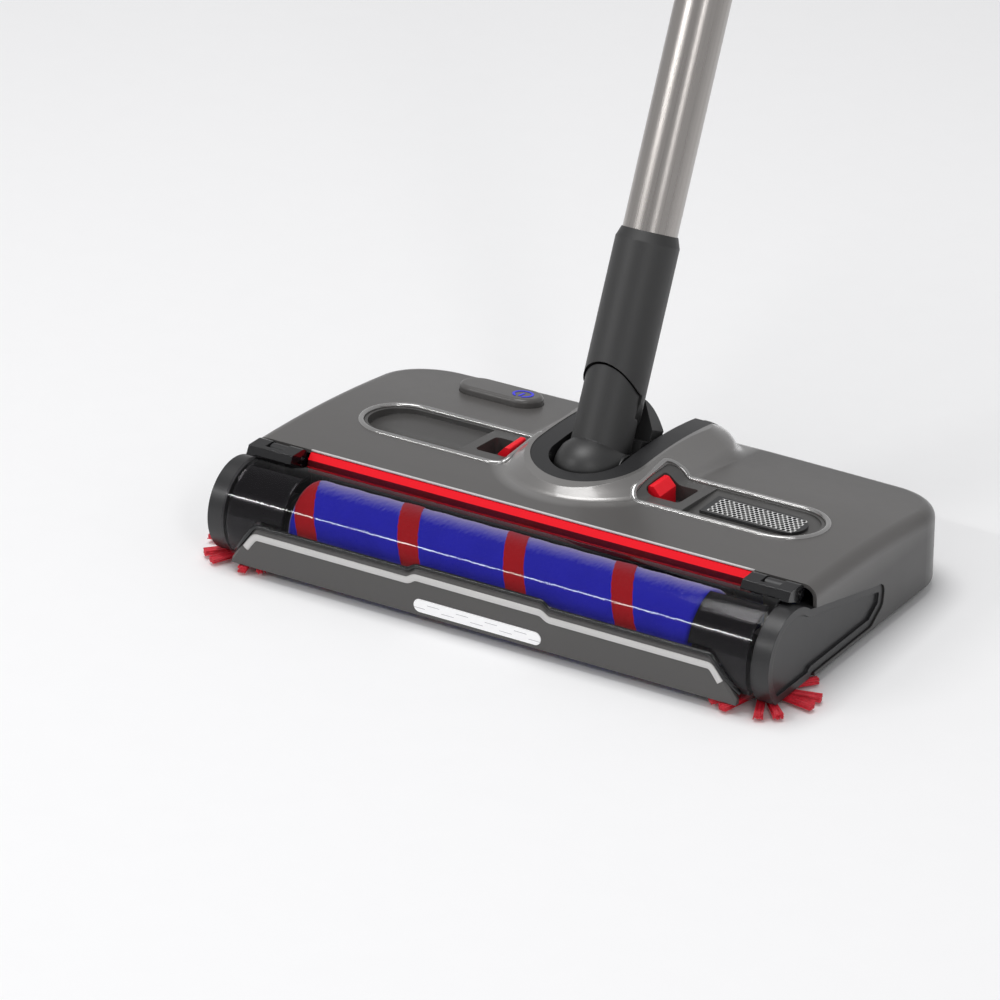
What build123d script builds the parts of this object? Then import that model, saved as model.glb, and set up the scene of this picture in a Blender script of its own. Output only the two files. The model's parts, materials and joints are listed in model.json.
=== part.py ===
"""Cordless floor sweeper: a low head with a hooded sweeping roll and two corner brushes,
on a telescopic pole that tilts and swings at its neck.

Millimetres, +Z up. The origin is on the floor under the glide pad in the middle of the head,
the roll lies to the front at -Y, and left is -X.
"""

import os
from math import cos, radians, sin, sqrt, tan

from build123d import *

os.makedirs("parts", exist_ok=True)

# Clearances
FIT = 0.3
RUN = 0.05
SEAT = 0.15

# Head casing
HEAD_W = 368.0
HEAD_D = 171.0
FRONT_Y = -43.0
TOP_Z = 60.0
BACK_DROP = 15.0
BACK_BOW = 6.0
SKIRT_Z = 6.0
CORNER_R = 38.0
EDGE_R = 8.0
WALL = 2.4
FLOOR_T = 3.0

# Sweeping roll
ROLL_Y = -66.0
NAP_R = 25.5
NAP_LIFT = 1.5
NAP_T = 4.5
CORE_T = 2.5
ROLL_END = 52.5
PLUG_T = 2.0
PLUG_DEPTH = 10.0
AXLE_R = 4.0
BUSH_R = 8.0
BUSH_W = 5.0

# Tunnel behind the roll
TUNNEL_GAP = 2.0
TUNNEL_T = 2.0
TUNNEL_ANGLE = 44.0
CARRIER_RING = 6.0
CARRIER_GAP = 2.0

# Hood over the roll
HOOD_GAP = 3.5
HOOD_T = 2.0
HOOD_FALL = 12.0
HOOD_WRAP = 38.0
HINGE_BACK = 16.0
HINGE_DROP = 1.0
HINGE_PIN_R = 1.5
KNUCKLE_R = 4.5
KNUCKLE_W = 11.0
KNUCKLE_END = 22.0
KNUCKLE_ROOM = 14.0
HINGE_PIN_INSET = 1.0
POST_D = 5.0
POST_DROP = 11.0
ARM_R = 5.2
ARM_W = 30.0
ARM_REACH = 13.0
ARM_SLOPE = 3.0
CHEEK_W = 4.5

# Front fascia and its light
FASCIA_T = 3.5
FASCIA_Z = 5.8
RAIL_Z = 31.0
RAIL_STEP = 3.0
STEP_HALF = 43.6
RAIL_END = 35.0
RAIL_FOOT = 19.0
RAIL_FOOT_Z = 9.0
RAIL_CHAMFER = 1.4
RAIL_RAMP = 2.0
RAIL_OVERLAP = 2.0
BAR_D = 4.0
BAR_H = 6.5
LENS_W = 83.2
LENS_H = 8.0
LENS_Z = 12.0
LENS_T = 1.8
LENS_PROUD = 0.4
BOARD_T = 1.6

# Trim strip in front of the cover
STRIP_END = 39.0
STRIP_D = 4.2
STRIP_EDGE = 1.2
STRIP_SLOPE = 3.2

# End caps
CAP_T = 11.0
CAP_INSET = 1.0
CAP_NOSE_STEP = 3.0
CAP_BROW = 40.0
CAP_TAIL_RAKE = 2.0
CAP_TAIL_Y = 37.0
CAP_TAIL_TOP = 29.0
CAP_TAIL_R = 6.0
CAP_HEEL = 15.0
CAP_HEEL_Z = 8.0
CAP_WALL = 6.0
CAP_BAND = 2.5
CAP_RIM = 4.5
CAP_SINK = 1.6

# Neck well, collar and liner
NECK_Y = 30.0
NECK_Z = 56.0
LEAN = 24.4
WELL_HALF = 35.0
WELL_Y = 26.0
COLLAR_FOOT_Z = 44.0
COLLAR_FOOT_R = 6.0
COLLAR_STEPS = [(COLLAR_FOOT_Z, 17.0), (57.0, 15.5), (60.0, 12.5), (63.0, 8.5), (66.0, 4.8), (70.0, 1.6)]
COLLAR_BACK = 98.0
COLLAR_RAKE = 1.2
COLLAR_CORNER = 9.0
CREST_R = 360.0
CREST_Y = 46.0
CREST_Z = 69.5
TROUGH_GAP = 0.6
TROUGH_Z = 32.6
LINER_T = 1.6
LINER_SINK = 0.3
LINER_RIM_Z = 61.0
LINER_BACK = 104.0

# Neck joint
DOME_HALF = 22.0
DOME_REACH = 30.0
DOME_RISE = 20.0
DOME_CUT = 8.0
DOME_CUT_ANGLE = 37.0
TILT_PIN_R = 3.0
TILT_BOSS_R = 12.0
TILT_BOSS_L = 40.0
EAR_W = 6.0
EAR_R = 4.8
SADDLE_D = 52.0
SADDLE_T = 2.5
SADDLE_GAP = 1.0
POST_STEP = 1.25
SWING_S = 41.2
TONGUE_STEP = 0.55
TONGUE_GAP = 2.0
LAP_GAP = 0.4
SWING_GAP = 1.2
SWING_PIN_R = 4.0
SWING_PIN_FRONT = 12.0
SWING_PIN_BACK = 16.0
HEEL_W = 40.0
HEEL_IN = 10.0
HEEL_FOOT = 3.0
HEEL_REACH = 24.5
HEEL_RISE = 8.0
WEB_REACH = 33.6
WEB_RISE = 28.0
WEB_TOP = 44.0
WEB_TOP_W = 22.0
WEB_HOLLOW = 3.4

# Pole
SLEEVE_T = 2.75
SLEEVE_TOP = 138.0
SLEEVE_CHAMFER = 2.2
SLEEVE_CHAMFER_H = 6.0
TUBE_R = 16.0
TUBE_T = 1.3
TUBE_FOOT = 76.0
TUBE_TOP = 540.0
INNER_GAP = 0.4
INNER_T = 1.2
INNER_FOOT = 170.0
LOCK_T = 4.5
LOCK_FOOT = 520.0
LOCK_H = 46.0
LOCK_EDGE = 1.5
LEVER_PIN_R = 1.6
LEVER_W = 12.0
LEVER_L = 36.0
LEVER_T = 5.0
LEVER_TIP_R = 2.0
LEVER_EAR_T = 3.0
LEVER_EAR_H = 8.0
GRIP_T = 2.7
GRIP_H = 172.0
GRIP_TAB_H = 38.0
GRIP_TAB_T = 14.0
GRIP_TAB_R = 13.0
GRIP_FLARE = 1.5
GRIP_BAND = 6.0
GRIP_WAIST = 1.0
GRIP_WAIST_Z = 69.0
GRIP_ROOT_H = 1.0
GRIP_SHOULDER_R = 6.0
INNER_SINK = 20.0
HANG_HOLE_R = 5.0
HANG_HOLE_DROP = 16.0

# Pockets in the top
PILL_OUT = 35.0
PILL_IN_LEFT = 46.0
PILL_IN_RIGHT = 41.0
PILL_Y = 24.0
PILL_W = 45.0
PILL_R = 7.0
TRAY_WALL = 2.0
TRAY_SINK = 0.6
SCOOP_LIP_Z = 58.0
LEFT_FLOOR_Z = 52.2
RIGHT_FLOOR_Z = 54.8
DEEP_Z = 46.0
TRAY_T = 1.6
FINGER_L = 22.0
FINGER_W = 24.0
FINGER_R = 3.0
PARTITION_T = 6.5
TAB_L = 8.0
TAB_W = 17.5
TAB_TOP = 62.0
TAB_CREST = 3.4
TAB_FALL = 5.0
TAB_EDGE_R = 1.0
GRILLE_L = 62.0
GRILLE_W = 22.0
GRILLE_T = 1.8
GRILLE_END = 9.0
GRILLE_RIM = 3.0
GRILLE_HOLE_R = 1.05
GRILLE_PITCH = 3.1
GRILLE_ROW = 2.2

# Power button
BUTTON_END = 79.2
BUTTON_Y = 97.0
BUTTON_L = 54.0
BUTTON_W = 24.0
BUTTON_PROUD = 5.2
BUTTON_EDGE_R = 2.5
BUTTON_FLANGE = 1.2
BUTTON_FLANGE_T = 2.5
ICON_R = 6.4
ICON_LINE = 1.4
ICON_BAR_Y = 1.8
ICON_T = 0.3
STEM_R = 3.0
STEM_X = -5.5
SWITCH_SIDE = 10.0
SWITCH_BASE_H = 2.0
SWITCH_H = 3.0
PRESS = 1.5

# Dust drawer
DRAWER_T = 1.8
DRAWER_H = 17.0
DRAWER_LIP = 5.0
DRAWER_FRONT = -35.5
DRAWER_FACE_T = 3.5
DRAWER_FACE_H = 25.0
DRAWER_FACE_LIFT = 1.0
DRAWER_FACE_LIP = 3.0
DRAWER_EDGE_R = 1.5
RAIL_T = 2.5
PULL_L = 60.0
PULL_D = 5.0
PULL_H = 4.0

# Roll drive
MOTOR_R = 13.0
MOTOR_L = 36.0
MOTOR_Y = -16.0
MOTOR_Z = 24.0
MOTOR_BOSS_R = 5.0
MOTOR_EDGE_R = 2.0
MOTOR_SHAFT_R = 1.5
MOTOR_SHAFT_L = 14.0
MOTOR_SHAFT_GAP = 1.0
ROLL_PULLEY_R = 12.0
MOTOR_PULLEY_R = 6.0
PULLEY_W = 6.5
BELT_W = 5.0
BELT_T = 1.5

# Corner brushes
BRUSH_END = 18.0
BRUSH_Y = -67.0
TUFT_R = 33.0
TUFT_PAIRS = 6
TUFT_SPLAY = 10.0
TUFT_LEAD = 4.0
STRANDS_ACROSS = 4
STRANDS_DEEP = 4
STRAND_STEP = 3.2
STRAND_LAYER = 0.85
STRAND_SIDE = 0.6
STRAND_ROOT = 1.0
STRAND_Z = 1.9
BACKING_R = 13.0
BACKING_T = 4.0
HUB_R = 10.0
HUB_CORE_R = 7.0
HUB_FOOT = 1.0
BRUSH_SHAFT_R = 1.5
BRUSH_MOTOR_X = 10.0
BRUSH_MOTOR_Y = 12.0
BRUSH_MOTOR_H = 26.0
DECK_Z = 10.0
DECK_T = 2.5

# Wheels, battery, board and small parts
WHEEL_R = 14.0
WHEEL_W = 14.0
TYRE_T = 2.5
WHEEL_END = 34.0
WHEEL_Y = 98.0
WHEEL_AXLE_R = 2.5
WHEEL_GAP = 2.0
LUG_T = 3.0
PAD_L = 80.0
PAD_W = 16.0
BATTERY_H = 21.0
BATTERY_Y = 17.5
BATTERY_W = 65.0
BATTERY_GAP = 2.0
BATTERY_END = 3.0
BATTERY_EDGE_R = 5.0
SOCKET_R = 4.3
SOCKET_BORE_R = 2.8
SOCKET_L = 12.0
SOCKET_END_T = 2.0
SOCKET_Y = 78.0
SOCKET_Z = 24.0
PCB_Y = 85.0
PCB_W = 46.0
PCB_L = 60.0
PCB_Z = 34.0
PCB_GAP = 4.0
PCB_POST_IN = 4.5
POST_SIDE_R = 3.0
BOSS_R = 3.5
BOSS_GAP = 2.3
SCREW_R = 1.5
SCREW_HEAD_R = 3.0
SCREW_HEAD_T = 1.8
SCREW_L = 14.0
SCREW_SLOT = 0.6

# Places that follow from the sizes above
HALF = HEAD_W / 2
BACK_Y = FRONT_Y + HEAD_D
FLOOR_Z = SKIRT_Z + FLOOR_T
ROLL_Z = NAP_R + NAP_LIFT
CORE_R = NAP_R - NAP_T
NAP_HALF = HALF - ROLL_END
PLUG_X = NAP_HALF + PLUG_T
HOOD_R = NAP_R + HOOD_GAP + HOOD_T
HOOD_HINGE_Y = ROLL_Y + HINGE_BACK
HOOD_HINGE_Z = ROLL_Z + HOOD_R - HINGE_DROP
POST_TOP = HOOD_HINGE_Z - POST_DROP
CAP_NOSE_R = HOOD_R - CAP_NOSE_STEP
SLEEVE_R = TUBE_R + SLEEVE_T
POST_R = SLEEVE_R - POST_STEP
TONGUE_R = SLEEVE_R - TONGUE_STEP
HEEL_TOP = SWING_S - TONGUE_R - TONGUE_GAP
INNER_R = TUBE_R - TUBE_T - INNER_GAP
LOCK_R = TUBE_R + LOCK_T
GRIP_R = INNER_R + GRIP_T
CAP_OUT = HALF - CAP_INSET
CAP_IN = CAP_OUT - CAP_T
HOOD_HALF = CAP_IN - FIT
PULLEY_X = PLUG_X + PULLEY_W / 2 + 2 * FIT
CARRIER_IN = PULLEY_X + PULLEY_W / 2 + CARRIER_GAP
RIB_T = PLUG_T + FIT
CARRIER_OUT = CARRIER_IN + BUSH_W
BRUSH_X = HALF - BRUSH_END
KNUCKLE_X = HALF - KNUCKLE_END
RAIL_HALF = HALF - RAIL_END
RAIL_FOOT_X = HALF - RAIL_FOOT
STEP_Y = FRONT_Y + WALL + SEAT
DECK_END = HOOD_HALF - HOOD_T - 2 * FIT
FASCIA_IN = ROLL_Y - HOOD_R + HOOD_T + RAIL_OVERLAP
FASCIA_OUT = FASCIA_IN - FASCIA_T
DECK_FRONT = FASCIA_IN + BAR_D
TUNNEL_R = NAP_R + TUNNEL_GAP
STRIP_Z = ROLL_Z + (TUNNEL_R + TUNNEL_T) * sin(radians(TUNNEL_ANGLE)) + FIT
PILL_OUT_X = HALF - PILL_OUT
DRAWER_HALF = NAP_HALF - MOTOR_L - FIT - RAIL_T - FIT
DRAWER_Z = FLOOR_Z + FIT
DRAWER_TOP = DRAWER_Z + DRAWER_H
SADDLE_Z = DRAWER_TOP + SADDLE_GAP
TROUGH_HALF = DOME_HALF + TROUGH_GAP
TROUGH_Y = NECK_Y - DOME_REACH - TROUGH_GAP + TROUGH_HALF
EAR_X = TROUGH_HALF + LINER_T + FIT + EAR_W / 2
WEB_IN = SLEEVE_R + 2 * FIT
BUTTON_X = BUTTON_END - HALF
CROWN_R = (HEAD_D**2 + BACK_DROP**2) / (2 * BACK_DROP)
button_back = HEAD_D - (BACK_Y - BUTTON_Y) + BUTTON_W / 2 + BUTTON_FLANGE
BUTTON_FOOT = TOP_Z - CROWN_R + sqrt(CROWN_R**2 - button_back**2) - WALL - FIT - BUTTON_FLANGE_T
PCB_X = -DRAWER_HALF - RAIL_T - PCB_GAP - PCB_L / 2
GRILLE_X = PILL_OUT_X - GRILLE_END - GRILLE_L / 2
WHEEL_X = HALF - WHEEL_END
LOCK_TOP = LOCK_FOOT + LOCK_H
SIDES = {"left": -1, "right": 1}
PILL_IN = {-1: PILL_IN_LEFT, 1: PILL_IN_RIGHT}
UP = (Align.CENTER, Align.CENTER, Align.MIN)
DOWN = (Align.CENTER, Align.CENTER, Align.MAX)
boss_back = BUTTON_Y + BUTTON_W / 2 + BUTTON_FLANGE + BOSS_R + BOSS_GAP
SCREWS = [
    (side * (HALF - inset), y)
    for side in SIDES.values()
    for inset, y in ((14.0, 60.0), (72.0, boss_back), (32.0, FRONT_Y + 15.0))
]

# The pole's own plane: its Z runs up the pole and its X is the tilt axis
pole = Plane(
    origin=(0, NECK_Y, NECK_Z),
    x_dir=(1, 0, 0),
    z_dir=(0, sin(radians(LEAN)), cos(radians(LEAN))),
)
swing = Plane(origin=pole.origin, x_dir=pole.x_dir, z_dir=pole.y_dir * -1)
pole_side = Plane(origin=pole.origin, x_dir=pole.y_dir, z_dir=pole.x_dir)


def u_plan(height, half, centre_y, back_y, corner=0):
    """A U seen from above: half a circle to the front and straight arms to the back."""
    with BuildSketch(Plane.XY.offset(height)) as plan:
        with Locations((0, centre_y)):
            Circle(half)
        with Locations((0, (centre_y + back_y) / 2)):
            Rectangle(2 * half, back_y - centre_y)
        if corner:
            fillet(plan.vertices().group_by(Axis.Y)[-1], corner)
    return plan.sketch


def pill_plan(side, grow):
    """A pocket's outline: round at its outer end, small corners at its inner end."""
    half_w = PILL_W / 2 + grow
    inner = PILL_IN[side] - grow
    centre = PILL_OUT_X - PILL_W / 2
    with BuildSketch() as plan:
        with Locations((side * (inner + centre) / 2, PILL_Y)):
            Rectangle(centre - inner, 2 * half_w)
        fillet(plan.vertices().filter_by(lambda v: abs(v.X) < (inner + centre) / 2), PILL_R)
        with Locations((side * centre, PILL_Y)):
            Circle(half_w)
    return plan.sketch


def cap_plan(grow, place):
    """An end cap seen from the side: a round nose on the roll's axis and a tapering tail."""
    low = SKIRT_Z + CAP_BAND
    brow = (ROLL_Y + CAP_NOSE_R * sin(radians(CAP_BROW)), ROLL_Z + CAP_NOSE_R * cos(radians(CAP_BROW)))
    with BuildSketch(Plane.YZ.offset(place)) as plan:
        with BuildLine():
            Polyline(
                (ROLL_Y, ROLL_Z),
                brow,
                (CAP_TAIL_Y, CAP_TAIL_TOP),
                (CAP_TAIL_Y - CAP_TAIL_RAKE, low + CAP_HEEL_Z),
                (CAP_TAIL_Y - CAP_HEEL, low),
                (ROLL_Y, low),
                close=True,
            )
        make_face()
        fillet(plan.vertices().filter_by(lambda v: v.X > CAP_TAIL_Y - CAP_HEEL - 1), CAP_TAIL_R)
        with Locations((ROLL_Y, ROLL_Z)):
            Circle(CAP_NOSE_R)
        with Locations((ROLL_Y, SKIRT_Z)):
            Rectangle(
                4 * CAP_NOSE_R,
                2 * CAP_NOSE_R,
                align=(Align.CENTER, Align.MAX),
                mode=Mode.SUBTRACT,
            )
        if grow:
            offset(amount=grow)
    return plan.sketch


def on_roll(radius, angle):
    """A point in the side view at an angle round the roll's axis, from the back and upwards."""
    return (ROLL_Y + radius * cos(radians(angle)), ROLL_Z + radius * sin(radians(angle)))


# Outer form of the head, which the cover, trays and button follow
with BuildPart() as head_form:
    with BuildSketch(Plane.YZ):
        with BuildLine():
            Polyline(
                (FRONT_Y, TOP_Z),
                (FRONT_Y, SKIRT_Z),
                (BACK_Y, SKIRT_Z),
                (BACK_Y, TOP_Z - BACK_DROP),
            )
            TangentArc((FRONT_Y, TOP_Z), (BACK_Y, TOP_Z - BACK_DROP), tangent=(1, 0))
        make_face()
    extrude(amount=HALF, both=True)
    with BuildSketch() as head_plan:
        with BuildLine():
            Polyline(
                (-HALF, BACK_Y - BACK_BOW),
                (-HALF, FRONT_Y),
                (HALF, FRONT_Y),
                (HALF, BACK_Y - BACK_BOW),
            )
            ThreePointArc((HALF, BACK_Y - BACK_BOW), (0, BACK_Y), (-HALF, BACK_Y - BACK_BOW))
        make_face()
        fillet(head_plan.vertices().group_by(Axis.Y)[-1], CORNER_R)
    extrude(amount=2 * TOP_Z, mode=Mode.INTERSECT)
    crown = head_form.faces().sort_by(Axis.Z)[-1]
    fillet(crown.edges().filter_by(lambda e: e.center().Y > FRONT_Y + EDGE_R), EDGE_R)

# Screw bosses that hang from the cover's skin
with BuildPart() as bosses:
    with Locations(*[(x, y, FLOOR_Z) for x, y in SCREWS]):
        Cylinder(BOSS_R, TOP_Z, align=UP)
    add(head_form.part, mode=Mode.INTERSECT)
    with Locations(*[(x, y, FLOOR_Z) for x, y in SCREWS]):
        Cylinder(SCREW_R + RUN, 2 * SCREW_L, mode=Mode.SUBTRACT)

# Neck collar: a U-shaped hill under an arched crest
with BuildPart() as collar:
    loft(
        [
            u_plan(z, WELL_HALF + out, WELL_Y, COLLAR_BACK + COLLAR_RAKE * out, COLLAR_CORNER + out)
            for z, out in COLLAR_STEPS
        ]
    )
    with Locations((0, CREST_Y, CREST_Z - CREST_R)):
        Cylinder(CREST_R, HEAD_W, rotation=(0, 90, 0), mode=Mode.INTERSECT)

# The head with the collar blended on, and the room inside its walls
with BuildPart() as cover_form:
    add(head_form.part)
    add(collar.part)
    foot = cover_form.edges(Select.LAST).filter_by(lambda e: e.center().Z < TOP_Z)
    fillet(foot, COLLAR_FOOT_R)
with BuildPart() as shell:
    add(head_form.part)
    bottom = shell.faces().sort_by(Axis.Z)[0]
    front = shell.faces().sort_by(Axis.Y)[0]
    offset(amount=-WALL, openings=[bottom, front])
with BuildPart() as room:
    add(head_form.part)
    add(shell.part, mode=Mode.SUBTRACT)

# Top cover: a shell with the neck collar raised on it
with BuildPart() as top_cover:
    add(cover_form.part)
    add(room.part, mode=Mode.SUBTRACT)
    add(bosses.part)
    add(collar.part)
    # The liner's rim seat and the trough that the neck tilts in
    extrude(
        u_plan(LINER_RIM_Z - FIT, WELL_HALF + SEAT, WELL_Y, 2 * BACK_Y),
        amount=TOP_Z,
        mode=Mode.SUBTRACT,
    )
    extrude(
        u_plan(TROUGH_Z - LINER_T - SEAT, TROUGH_HALF + LINER_T + SEAT, TROUGH_Y, 2 * BACK_Y),
        amount=TOP_Z,
        mode=Mode.SUBTRACT,
    )
    # Room for the saddle's ears
    with Locations((0, NECK_Y, COLLAR_FOOT_Z)):
        Box(
            2 * EAR_X + EAR_W + 2 * FIT,
            2 * EAR_R + 2 * FIT,
            2 * (LINER_RIM_Z - COLLAR_FOOT_Z),
            mode=Mode.SUBTRACT,
        )
    # Pockets, the button's hole and the drawer's mouth
    for side in SIDES.values():
        extrude(
            pill_plan(side, SEAT),
            amount=2 * TOP_Z,
            mode=Mode.SUBTRACT,
        )
        extrude(cap_plan(FIT, side * (CAP_IN - FIT)), amount=side * CAP_T * 2, mode=Mode.SUBTRACT)
    with BuildSketch():
        with Locations((BUTTON_X, BUTTON_Y)):
            SlotOverall(BUTTON_L + 2 * FIT, BUTTON_W + 2 * FIT)
    extrude(amount=2 * TOP_Z, mode=Mode.SUBTRACT)
    with Locations((0, BACK_Y, DRAWER_Z - 2 * FIT)):
        Box(
            2 * (DRAWER_HALF + FIT),
            2 * BACK_BOW + 4 * WALL,
            DRAWER_H + 4 * FIT,
            align=UP,
            mode=Mode.SUBTRACT,
        )
    with Locations((-HALF, SOCKET_Y, SOCKET_Z)):
        Cylinder(SOCKET_R + SEAT, 4 * WALL, rotation=(0, 90, 0), mode=Mode.SUBTRACT)
top_cover.part.label = "top_cover"
export_step(top_cover.part, "parts/top_cover.step")

# Chassis: floor, drawer rails, roll tunnel, corner decks, roll carriers, lugs and posts
with BuildPart() as chassis:
    with BuildSketch(Plane.XY.offset(SKIRT_Z)):
        add(head_plan.sketch)
        offset(amount=-WALL - SEAT)
        with Locations((0, FRONT_Y)):
            Rectangle(2 * (NAP_HALF + FIT), 2 * (TUNNEL_T + WALL))
    extrude(amount=FLOOR_T)
    # Tunnel behind the roll
    with BuildSketch(Plane.YZ):
        with Locations((ROLL_Y, ROLL_Z)):
            Circle(TUNNEL_R + TUNNEL_T)
            Circle(TUNNEL_R, mode=Mode.SUBTRACT)
        with BuildLine():
            reach = 2 * HOOD_R
            Polyline(
                (ROLL_Y, ROLL_Z),
                on_roll(reach, TUNNEL_ANGLE),
                on_roll(reach, -TUNNEL_ANGLE),
                close=True,
            )
        make_face(mode=Mode.INTERSECT)
    extrude(amount=NAP_HALF + FIT, both=True)
    # Drawer rails
    for side in SIDES.values():
        with Locations((side * (DRAWER_HALF + FIT + RAIL_T / 2), (DRAWER_FRONT + BACK_Y) / 2, SKIRT_Z)):
            Box(
                RAIL_T,
                BACK_Y - DRAWER_FRONT - 4 * WALL,
                SADDLE_Z - SKIRT_Z,
                align=UP,
            )
    # The drawer's mouth through the tunnel
    with Locations((0, ROLL_Y + TUNNEL_R, DRAWER_Z + DRAWER_LIP)):
        Box(
            2 * (DRAWER_HALF - DRAWER_T),
            2 * TUNNEL_R,
            DRAWER_H - DRAWER_LIP,
            align=(Align.CENTER, Align.MIN, Align.MIN),
            mode=Mode.SUBTRACT,
        )
    # Front bar behind the fascia
    with Locations((0, FASCIA_IN, SKIRT_Z)):
        Box(2 * CARRIER_OUT, BAR_D + FLOOR_T, BAR_H, align=(Align.CENTER, Align.MIN, Align.MIN))
    for side in SIDES.values():
        # Corner deck over the brush, and its step down to the floor
        with Locations((side * CARRIER_IN, DECK_FRONT, DECK_Z)):
            Box(
                DECK_END - CARRIER_IN,
                STEP_Y - DECK_FRONT,
                DECK_T,
                align=(Align.MIN if side > 0 else Align.MAX, Align.MIN, Align.MIN),
            )
        with Locations((side * CARRIER_IN, STEP_Y, SKIRT_Z)):
            Box(
                DECK_END - CARRIER_IN,
                FLOOR_T,
                DECK_Z + DECK_T - SKIRT_Z,
                align=(Align.MIN if side > 0 else Align.MAX, Align.MIN, Align.MIN),
            )
        # End wall that carries the cap
        with Locations((side * CAP_IN, STEP_Y, SKIRT_Z)):
            Box(
                RAIL_T,
                CAP_TAIL_Y - CAP_WALL - STEP_Y,
                CAP_TAIL_TOP - CAP_WALL - SKIRT_Z,
                align=(Align.MAX if side > 0 else Align.MIN, Align.MIN, Align.MIN),
            )
        extrude(cap_plan(FIT, side * CAP_IN), amount=side * CAP_T, mode=Mode.SUBTRACT)
        # Carrier for the roll's bush
        with BuildSketch(Plane.YZ.offset(side * (CARRIER_IN + BUSH_W / 2))):
            with Locations((ROLL_Y, ROLL_Z)):
                Circle(BUSH_R + CARRIER_RING)
            with Locations((ROLL_Y, DECK_Z)):
                Rectangle(2 * BUSH_R, ROLL_Z - DECK_Z, align=(Align.CENTER, Align.MIN))
            with Locations((ROLL_Y, ROLL_Z)):
                Circle(BUSH_R, mode=Mode.SUBTRACT)
        extrude(amount=BUSH_W / 2, both=True)
        # Fixed knuckle of the hood hinge on its post
        with BuildSketch(Plane.YZ.offset(side * KNUCKLE_X)):
            with Locations((HOOD_HINGE_Y, HOOD_HINGE_Z)):
                Circle(KNUCKLE_R)
            with Locations((FRONT_Y, DECK_Z)):
                Rectangle(POST_D, POST_TOP - DECK_Z, align=(Align.MAX, Align.MIN))
            make_hull()
            with Locations((HOOD_HINGE_Y, HOOD_HINGE_Z)):
                Circle(HINGE_PIN_R, mode=Mode.SUBTRACT)
        extrude(amount=KNUCKLE_W / 2, both=True)
        # Wheel lugs
        for lug in (-1, 1):
            lug_x = side * WHEEL_X + lug * (WHEEL_W / 2 + FIT + LUG_T / 2)
            with BuildSketch(Plane.YZ.offset(lug_x)):
                with Locations((WHEEL_Y, WHEEL_R)):
                    Circle(2 * WHEEL_AXLE_R)
                with Locations((WHEEL_Y, SKIRT_Z)):
                    Rectangle(4 * WHEEL_AXLE_R, WHEEL_R - SKIRT_Z, align=(Align.CENTER, Align.MIN))
                with Locations((WHEEL_Y, WHEEL_R)):
                    Circle(WHEEL_AXLE_R, mode=Mode.SUBTRACT)
            extrude(amount=LUG_T / 2, both=True)
        with Locations((side * WHEEL_X, WHEEL_Y, SKIRT_Z)):
            Box(WHEEL_W + 2 * FIT, 2 * (WHEEL_R + WHEEL_GAP), 3 * FLOOR_T, mode=Mode.SUBTRACT)
        # Hole for the corner brush's shaft
        with Locations((side * BRUSH_X, BRUSH_Y, DECK_Z)):
            Cylinder(BRUSH_SHAFT_R + FIT, 4 * DECK_T, mode=Mode.SUBTRACT)
    # Rib that carries the drive motor
    with BuildSketch(Plane.YZ.offset(-NAP_HALF - RIB_T / 2)):
        with Locations((MOTOR_Y, SKIRT_Z)):
            Rectangle(2 * MOTOR_R, MOTOR_Z - SKIRT_Z, align=(Align.CENTER, Align.MIN))
        with Locations((MOTOR_Y, MOTOR_Z)):
            Circle(MOTOR_R)
            Circle(MOTOR_BOSS_R, mode=Mode.SUBTRACT)
    extrude(amount=RIB_T / 2, both=True)
    # Posts under the control board
    post_x = PCB_L / 2 - PCB_POST_IN
    post_y = PCB_W / 2 - PCB_POST_IN
    with Locations((PCB_X, PCB_Y, SKIRT_Z)):
        with Locations((-post_x, -post_y), (post_x, -post_y), (post_x, post_y)):
            Cylinder(POST_SIDE_R, PCB_Z - SKIRT_Z, align=UP)
    # Screw holes with sunk heads
    with Locations(*[(x, y, SKIRT_Z) for x, y in SCREWS]):
        Cylinder(SCREW_R + RUN, 4 * FLOOR_T, mode=Mode.SUBTRACT)
        Cylinder(
            SCREW_HEAD_R + SEAT,
            SCREW_HEAD_T + SEAT,
            align=UP,
            mode=Mode.SUBTRACT,
        )
    # Room for the roll
    with Locations((0, ROLL_Y, ROLL_Z)):
        Cylinder(TUNNEL_R, 2 * (NAP_HALF + FIT), rotation=(0, 90, 0), mode=Mode.SUBTRACT)
chassis.part.label = "chassis"
export_step(chassis.part, "parts/chassis.step")

# Screws that hold the chassis to the cover's bosses
with BuildPart() as base_screws:
    with Locations(*[(x, y, SKIRT_Z + SEAT) for x, y in SCREWS]):
        Cylinder(SCREW_HEAD_R, SCREW_HEAD_T, align=UP)
        Cylinder(SCREW_R, SCREW_L, align=UP)
        Box(SCREW_HEAD_R, SCREW_SLOT, SCREW_HEAD_T / 2, mode=Mode.SUBTRACT)
        Box(SCREW_SLOT, SCREW_HEAD_R, SCREW_HEAD_T / 2, mode=Mode.SUBTRACT)
base_screws.part.label = "base_screws"
export_step(base_screws.part, "parts/base_screws.step")

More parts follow.
